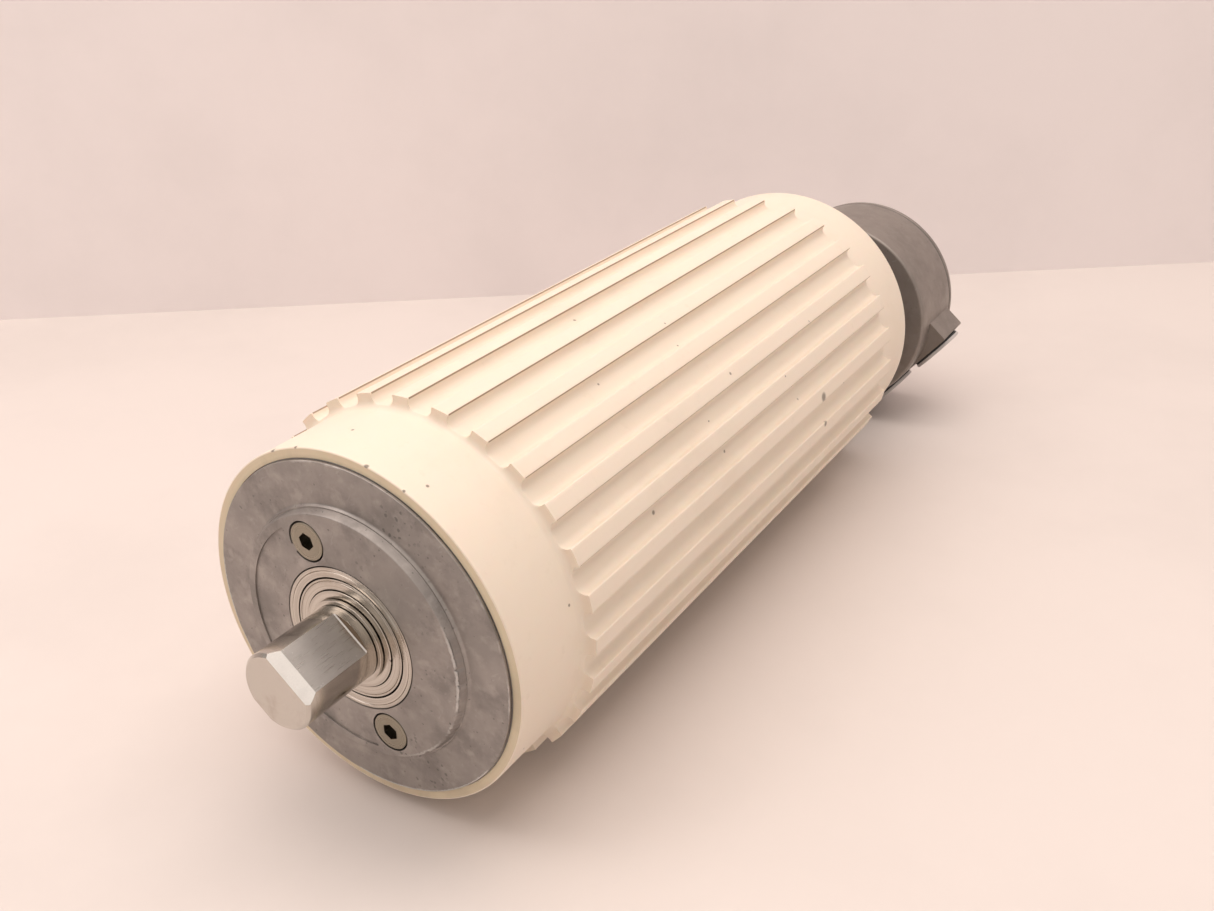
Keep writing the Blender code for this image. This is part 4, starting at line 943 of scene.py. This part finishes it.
def paint_flats(shaft):
    """The flats get a milled finish; their chamfers and fillets get a much lighter copy of it as painted
    reflection and painted highlight, and the shoulders that end them get a darker copy as painted shade.
    """
    flat, shoulder, chamfer = 1, 2, 3
    for material in (SHAFT_STEEL, FLAT_STEEL, PAINTED_SHADE_STEEL, PAINTED_HIGHLIGHT_STEEL):
        shaft.data.materials.append(material)
    for face in shaft.data.polygons:
        sideways = abs(face.normal.dot(ACROSS))
        # The end chamfer gets the lighter steel as a painted reflection.
        if sideways > 0.8 and len(face.vertices) > 3 and face.area > 5 * MM * MM:
            face.material_index = flat if sideways > 0.97 else chamfer
        # The fillets at the flats' ends get the lighter steel as a painted highlight line.
        elif 0.6 < sideways < 0.8 and abs(face.normal.dot(ALONG)) > 0.6:
            face.material_index = chamfer
        # The shoulders get the dark copy as painted shade.
        elif abs(face.normal.dot(ALONG)) > 0.9 and FLAT < abs(face.center.dot(ACROSS)) < SHAFT:
            face.material_index = shoulder


def cut_flats(shaft, start, end):
    """Two parallel flats, the back one shallower, with a small fillet where they meet their shoulders."""
    wide = 30 * MM
    for side, flat in ((1, FLAT), (-1, BACK_FLAT)):
        outline = [(flat + FILLET, start), (wide, start), (wide, end), (flat + FILLET, end),
                   (flat, end - FILLET), (flat, start + FILLET)]
        outline = [(side * across, along) for across, along in outline]
        carve(shaft, prism("flat", outline, -wide, wide, SHAFT_AXES))


def front_shaft():
    """The front stub with its flats and the chamfer on its end, made bright by a painted reflection."""
    step_at = NEAR_END + 19.3 * MM
    flange = NEAR_END + 22 * MM
    clip_end = NEAR_END + COLLAR_FACE
    clip_start = clip_end - 1.8 * MM
    groove = SHAFT - 0.9 * MM
    nose = 0.9 * MM
    shaft = turned("front_stub", [
        (0, 0), (SHAFT - nose, 0), (SHAFT, nose), (SHAFT, clip_start), (groove, clip_start),
        (groove, clip_end), (SHAFT, clip_end), (SHAFT, step_at), (SHAFT + 4 * MM, step_at),
        (SHAFT + 4 * MM, flange),
        (31.5 * MM, flange), (31.5 * MM, flange + 6 * MM), (0, flange + 6 * MM)])
    cut_flats(shaft, -5 * MM, NEAR_END - FLAT_SHOULDER)
    wedge = [(FLAT - CHAMFER_RISE, 0), (FLAT - 2 * CHAMFER_RISE, -CHAMFER_RUN), (30 * MM, -CHAMFER_RUN),
             (30 * MM, 3 * CHAMFER_RUN), (FLAT + CHAMFER_RISE, 2 * CHAMFER_RUN)]
    carve(shaft, prism("chamfer", wedge, -30 * MM, 30 * MM, SHAFT_AXES))
    paint_flats(shaft)
    settle(shaft, [], 25.0)
    crisp(shaft, 0.14 * MM)
    stand_in(shaft, "fixed_shafts", "machined_steel", "front_shaft")


def rear_shaft():
    """The rear shaft from the motor's end flange to the neck inside the box."""
    motor_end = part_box("rear_shaft")[0].y
    flange = motor_end + 7 * MM
    step_at = FAR_END - 19.3 * MM
    clip_start = FAR_END - COLLAR_FACE
    clip_end = clip_start + 1.8 * MM
    groove = SHAFT - 0.9 * MM
    neck_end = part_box("rear_shaft")[1].y
    shaft = turned("rear_stub", [
        (11.3 * MM, motor_end), (15.3 * MM, motor_end), (15.3 * MM, flange), (50 * MM, flange),
        (50 * MM, flange + 7 * MM), (18 * MM, flange + 13 * MM), (SHAFT, flange + 13 * MM),
        (SHAFT, step_at - 2 * MM), (SHAFT + 4 * MM, step_at - 2 * MM), (SHAFT + 4 * MM, step_at),
        (SHAFT, step_at), (SHAFT, clip_start), (groove, clip_start), (groove, clip_end), (SHAFT, clip_end),
        (SHAFT, BOX_FRONT - GAP), (NECK, BOX_FRONT - GAP), (NECK, neck_end, 0.5 * MM),
        (5 * MM, neck_end), (5 * MM, flange), (11.3 * MM, flange)])
    cut_flats(shaft, FAR_END + FLAT_SHOULDER, BOX_FRONT)
    lead_hole = beside((0, -26 * MM))
    drill(shaft, 4 * MM, flange - 1 * MM, flange + 16 * MM, lead_hole)
    side_hole = axes(Vector((0, flange + 21 * MM, 0)), Vector((1, 0, 0)), ALONG, Vector((0, 0, 1)))
    drill(shaft, 4 * MM, 0.0, 30 * MM, side_hole)
    paint_flats(shaft)
    settle(shaft, [], 25.0)
    crisp(shaft, 0.14 * MM)
    stand_in(shaft, "fixed_shafts", "machined_steel", "rear_shaft")


# ---------------------------------------------------------------------------- terminal box

def lid_screw_places():
    """Four places round the lid, in the box's own x and y."""
    return [Vector(spoke(LID_SCREW_CIRCLE, math.radians(angle))) for angle in LID_SCREW_ANGLES]


def box_body():
    """The cast body with its soft front edge, and the pad for the cable entries under it."""
    depth = BOX_REAR - BOX_FRONT
    inner = BOX - BOX_WALL
    body = turned("box_casting", [(0, 0), (BOX, 0, 1.4 * MM), (BOX, depth, 0.3 * MM), (0, depth)], BOX_AXES)
    rise = math.sqrt(BOX ** 2 - PAD_HALF_WIDTH ** 2) - 6 * MM
    corner = 1.2 * MM
    outline = softened([(-PAD_HALF_WIDTH, BOX, corner), (-PAD_HALF_WIDTH, rise), (PAD_HALF_WIDTH, rise),
                        (PAD_HALF_WIDTH, BOX, corner)])
    pad = prism("pad", outline, PAD_START, PAD_START + PAD_LENGTH, BOX_AXES)
    carve(body, pad, "UNION")
    carve(body, turned("hollow", [(0, BOX_FRONT_WALL), (inner, BOX_FRONT_WALL, 2 * MM),
                                  (inner, depth + 5 * MM), (0, depth + 5 * MM)], BOX_AXES))
    for place in lid_screw_places():
        foot, post_radius = BOX_FRONT_WALL - 1 * MM, 5 * MM
        post = turned("post", [(0, foot), (post_radius, foot), (post_radius, depth), (0, depth)],
                      beside(place, BOX_AXES), SMALL_ROUND)
        carve(body, post, "UNION")
        drill(body, 2.3 * MM, depth - 12 * MM, depth + 2 * MM, beside(place, BOX_AXES), 32)
    drill(body, NECK + GAP, -2 * MM, BOX_FRONT_WALL + 2 * MM, beside((0, -BOX_DROP), BOX_AXES))
    for matrix in entry_axes():
        drill(body, ENTRY_HOLE, -12 * MM, 5 * MM, matrix)
    settle(body, [BOX_METAL])
    crisp(body, 0.7 * MM, 3)
    stand_in(body, "fixed_shafts", "cast_aluminium", "terminal_box_body")


def entry_axes():
    """The frames of the two cable entries, with z out of the pad."""
    middle = PAD_START + PAD_LENGTH / 2
    centre = BOX_AXES.to_translation() + DOWN * BOX + ALONG * middle
    return [axes(centre + ACROSS * side * ENTRY_OFFSET, ACROSS, -ALONG, DOWN) for side in (1, -1)]


def entry_caps():
    """The blanking caps: a thin head with a raised rim and a coin slot, a seal, and a threaded plug."""
    for number, matrix in enumerate(entry_axes(), start=1):
        top = GAP + CAP_HEAD
        thread = ENTRY_HOLE - GAP
        dish, seal = top - 0.5 * MM, CAP - 0.3 * MM
        outline = [(0, dish), (CAP - 2.6 * MM, dish, 0.3 * MM), (CAP - 2.1 * MM, top, 0.3 * MM),
                   (CAP, top, 0.5 * MM), (CAP, GAP + CAP_SEAL), (seal, GAP + CAP_SEAL), (seal, GAP),
                   (thread, GAP)]
        for k in range(4):
            z = -0.8 * MM - 1.5 * MM * k
            outline += [(thread, z), (thread - 0.6 * MM, z - 0.7 * MM)]
        outline += [(thread - 0.6 * MM, -7 * MM), (0, -7 * MM)]
        cap = turned(f"blanking_cap_{number}", outline, matrix, 96)
        carve(cap, brick("slot", (-7 * MM, -1 * MM, top - 1.5 * MM), (7 * MM, 1 * MM, top + 1 * MM), matrix))
        head, rubber = 0, 1
        settle(cap, [CAP_PLASTIC, BLACK_RUBBER])
        for side in cap.data.polygons:
            height = (matrix.inverted() @ side.center).z
            side.material_index = rubber if height < GAP + CAP_SEAL else head
        stand_in(cap, "fixed_shafts", "grey_plastic", f"entry_cap_{number}")


def box_lid():
    """Gasket, lid with countersunk wells, and its screws."""
    low, high = (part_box("lid_gasket")[k].y - BOX_FRONT for k in (0, 1))
    low, high = low - 0.2 * MM, high + 0.2 * MM
    edge = BOX - 0.25 * MM
    gasket = turned("lid_seal", [
        (BOX - 3.3 * MM, low), (edge, low, 0.2 * MM), (edge, high, 0.2 * MM),
        (BOX - 3.3 * MM, high)], BOX_AXES)
    stand_in(settle(gasket, [SEAL_RUBBER]), "fixed_shafts", "black_rubber", "lid_gasket")
    inner, outer = (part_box("terminal_box_lid")[k].y - BOX_FRONT for k in (0, 1))
    lid = turned("box_lid", [
        (0, inner), (BOX, inner, 0.3 * MM), (BOX, outer, 0.8 * MM), (BOX - 13.5 * MM, outer, 0.4 * MM),
        (BOX - 14.1 * MM, outer - 0.5 * MM, 0.4 * MM), (0, outer - 0.5 * MM)], BOX_AXES)
    head, sink = 3.8 * MM, 1.6 * MM
    for number, place in enumerate(lid_screw_places(), start=1):
        matrix = beside(place, BOX_AXES)
        well = [(0, inner - 1 * MM), (2.3 * MM, inner - 1 * MM), (2.3 * MM, outer - sink - GAP),
                (head + 0.6 * MM, outer), (head + 0.6 * MM, outer + 1 * MM), (0, outer + 1 * MM)]
        carve(lid, turned("well", well, matrix, SMALL_ROUND))
        screw = turned(f"lid_bolt_{number}", [
            (0, outer - 18 * MM), (2 * MM, outer - 18 * MM), (2 * MM, outer - sink),
            (head, outer - 0.25 * MM, 0.1 * MM), (head - 0.1 * MM, outer - 0.1 * MM, 0.1 * MM),
            (0, outer - 0.1 * MM)], matrix, SMALL_ROUND)
        carve(screw, prism("socket", hexagon(2.5 * MM), outer - 1.5 * MM, outer + 1 * MM, matrix))
        settle(screw, [FASTENER_STEEL])
        stand_in(screw, "fixed_shafts", "stainless_steel", f"lid_screw_{number}")
    settle(lid, [BOX_METAL])
    stand_in(lid, "fixed_shafts", "cast_aluminium", "terminal_box_lid")


# ---------------------------------------------------------------------------- the hidden works

HIDDEN_FINISHES = {
    BEARING_STEEL: ("front_bearing_inner_race", "front_bearing_outer_race", "rear_bearing_inner_race",
                    "rear_bearing_outer_race", "rotor_front_bearing", "rotor_rear_bearing"),
    BRASS: ("front_bearing_cage", "rear_bearing_cage", "earth_screw"),
    GEAR_STEEL: ("ring_gear", "layshaft", "layshaft_wheel", "rotor_shaft", "rotor_pinion"),
    INNER_CAST: ("gear_carrier", "motor_flange", "motor_sleeve", "rotor_front_end_ring",
                 "rotor_rear_end_ring"),
    SHEET_STEEL: ("stator_core", "rotor_core"),
    COPPER: ("front_coil_head", "rear_coil_head"),
    WASHER_COPPER: ("oil_plug_washer_1", "oil_plug_washer_2"),
    BLACK_RUBBER: ("front_lip_seal", "rear_lip_seal", "motor_leads"),
    GREY_PLASTIC: ("terminal_block",),
    FASTENER_STEEL: ("carrier_screw_1", "carrier_screw_2", "carrier_screw_3", "neck_nut"),
}


def hidden_works():
    """The CAD pieces inside keep their shape and get their finish."""
    for material, names in HIDDEN_FINISHES.items():
        for name in names:
            node = frame["nodes"][name]
            node.data.materials.clear()
            node.data.materials.append(material)


# ---------------------------------------------------------------------------- stage, light, camera

def stage_material(name, colour, roughness, one_sided=False):
    """A plain pale surface with faint mottling."""
    material, tree, shader = new_material(name, colour, roughness)
    shade = scaled(colour, 0.9)
    mottle = cloudy(tree, 6.0, 0.4, 0.7)
    wire(tree, shader, Base_Color=tint(tree, colour, shade, mottle, 0.5))
    if one_sided:
        output = tree.nodes["Material Output"]
        mix = step(tree, "MixShader", {0: step(tree, "NewGeometry").outputs["Backfacing"],
                                       1: tree.nodes["Principled BSDF"].outputs[0],
                                       2: step(tree, "BsdfTransparent").outputs[0]})
        tree.links.new(mix.outputs[0], output.inputs[0])
    return material


WALL_TURN = math.radians(32.0)       # of the wall's foot, from +X towards +Y


def stage():
    """A pale table and the wall behind it, which is clear from behind."""
    size = 3.0
    floor_corners = [(-size, -size, FLOOR), (size, -size, FLOOR), (size, size, FLOOR), (-size, size, FLOOR)]
    foot = Vector((-0.5686, 0.2652, FLOOR))
    run = Vector((*spoke(1.0, WALL_TURN), 0))
    up = Vector((0, 0, 1))
    left, right = foot - run * size, foot + run * size
    wall_corners = [left, right, right + up * size, left + up * size]
    for name, corners, material in (
            ("table", floor_corners, stage_material("pale_table", (0.72, 0.655, 0.62), 0.45)),
            ("wall", wall_corners, stage_material("pale_wall", (0.86, 0.785, 0.775), 0.8, one_sided=True))):
        mesh = bpy.data.meshes.new(name)
        mesh.from_pydata([tuple(corner) for corner in corners], [], [(0, 1, 2, 3)])
        mesh.materials.append(material)
        placed(name, mesh)


def soft_light(name, place, aim, size, power, colour):
    """A large soft lamp."""
    data = bpy.data.lights.new(name, "AREA")
    data.shape = "RECTANGLE"
    data.size, data.size_y = size
    data.energy = power
    data.color = colour
    lamp = placed(name, data)
    lamp.location = place
    lamp.rotation_euler = (Vector(aim) - Vector(place)).to_track_quat("-Z", "Y").to_euler()


SURROUND = 0.46              # strength of the surround away from its bright parts


def light():
    """A broad lamp overhead, a weaker one for the wall, and a surround with two brighter sides."""
    soft_light("overhead", (0.0, 0.2, 1.5), (0, 0.15, 0), (1.8, 1.4), 24.0, (1.0, 0.91, 0.85))
    soft_light("left", (-0.9, -0.6, 1.2), (-0.2, 0.8, 0.3), (0.9, 0.9), 5.5, (1.0, 0.92, 0.88))
    world = bpy.data.worlds.new("surround")
    world.use_nodes = True
    tree = world.node_tree
    way = step(tree, "TexCoord").outputs["Generated"]
    base = None
    for direction, sharp, amount in (((0.85, 0.25, 0.45), -0.1, 0.12), ((0.66, -0.49, 0.58), 0.7, 0.75)):
        toward = step(tree, "VectorMath", {0: way, 1: Vector(direction).normalized()},
                      operation="DOT_PRODUCT").outputs["Value"]
        part = spread(tree, toward, sharp, 1.0, 0.0, amount)
        base = part if base is None else reckon(tree, "ADD", base, part)
    surround = tree.nodes["Background"].inputs
    surround["Color"].default_value = (1.0, 0.92, 0.86, 1.0)
    tree.links.new(reckon(tree, "MULTIPLY", reckon(tree, "ADD", base, 1.0), SURROUND), surround["Strength"])
    bpy.context.scene.world = world
    bpy.context.scene.view_settings.view_transform = "Standard"


def camera():
    """The viewpoint: close, from the front right and above, and rolled a little."""
    right = Vector((0.84365, 0.53436, -0.05204))
    up = Vector((-0.19861, 0.40067, 0.89444))
    back = Vector((0.49881, -0.74426, 0.44415))
    data = bpy.data.cameras.new("view")
    data.lens = 35.56
    data.sensor_width = 36.0
    data.clip_start = 0.01
    viewer = placed("view", data)
    viewer.matrix_world = axes(Vector((0.2310, -0.1725, 0.2026)), right, up, back)
    bpy.context.scene.camera = viewer


camera()
light()
stage()
lagging()
drum_tube()
end_caps()
front_shaft()
rear_shaft()
box_body()
entry_caps()
box_lid()
hidden_works()
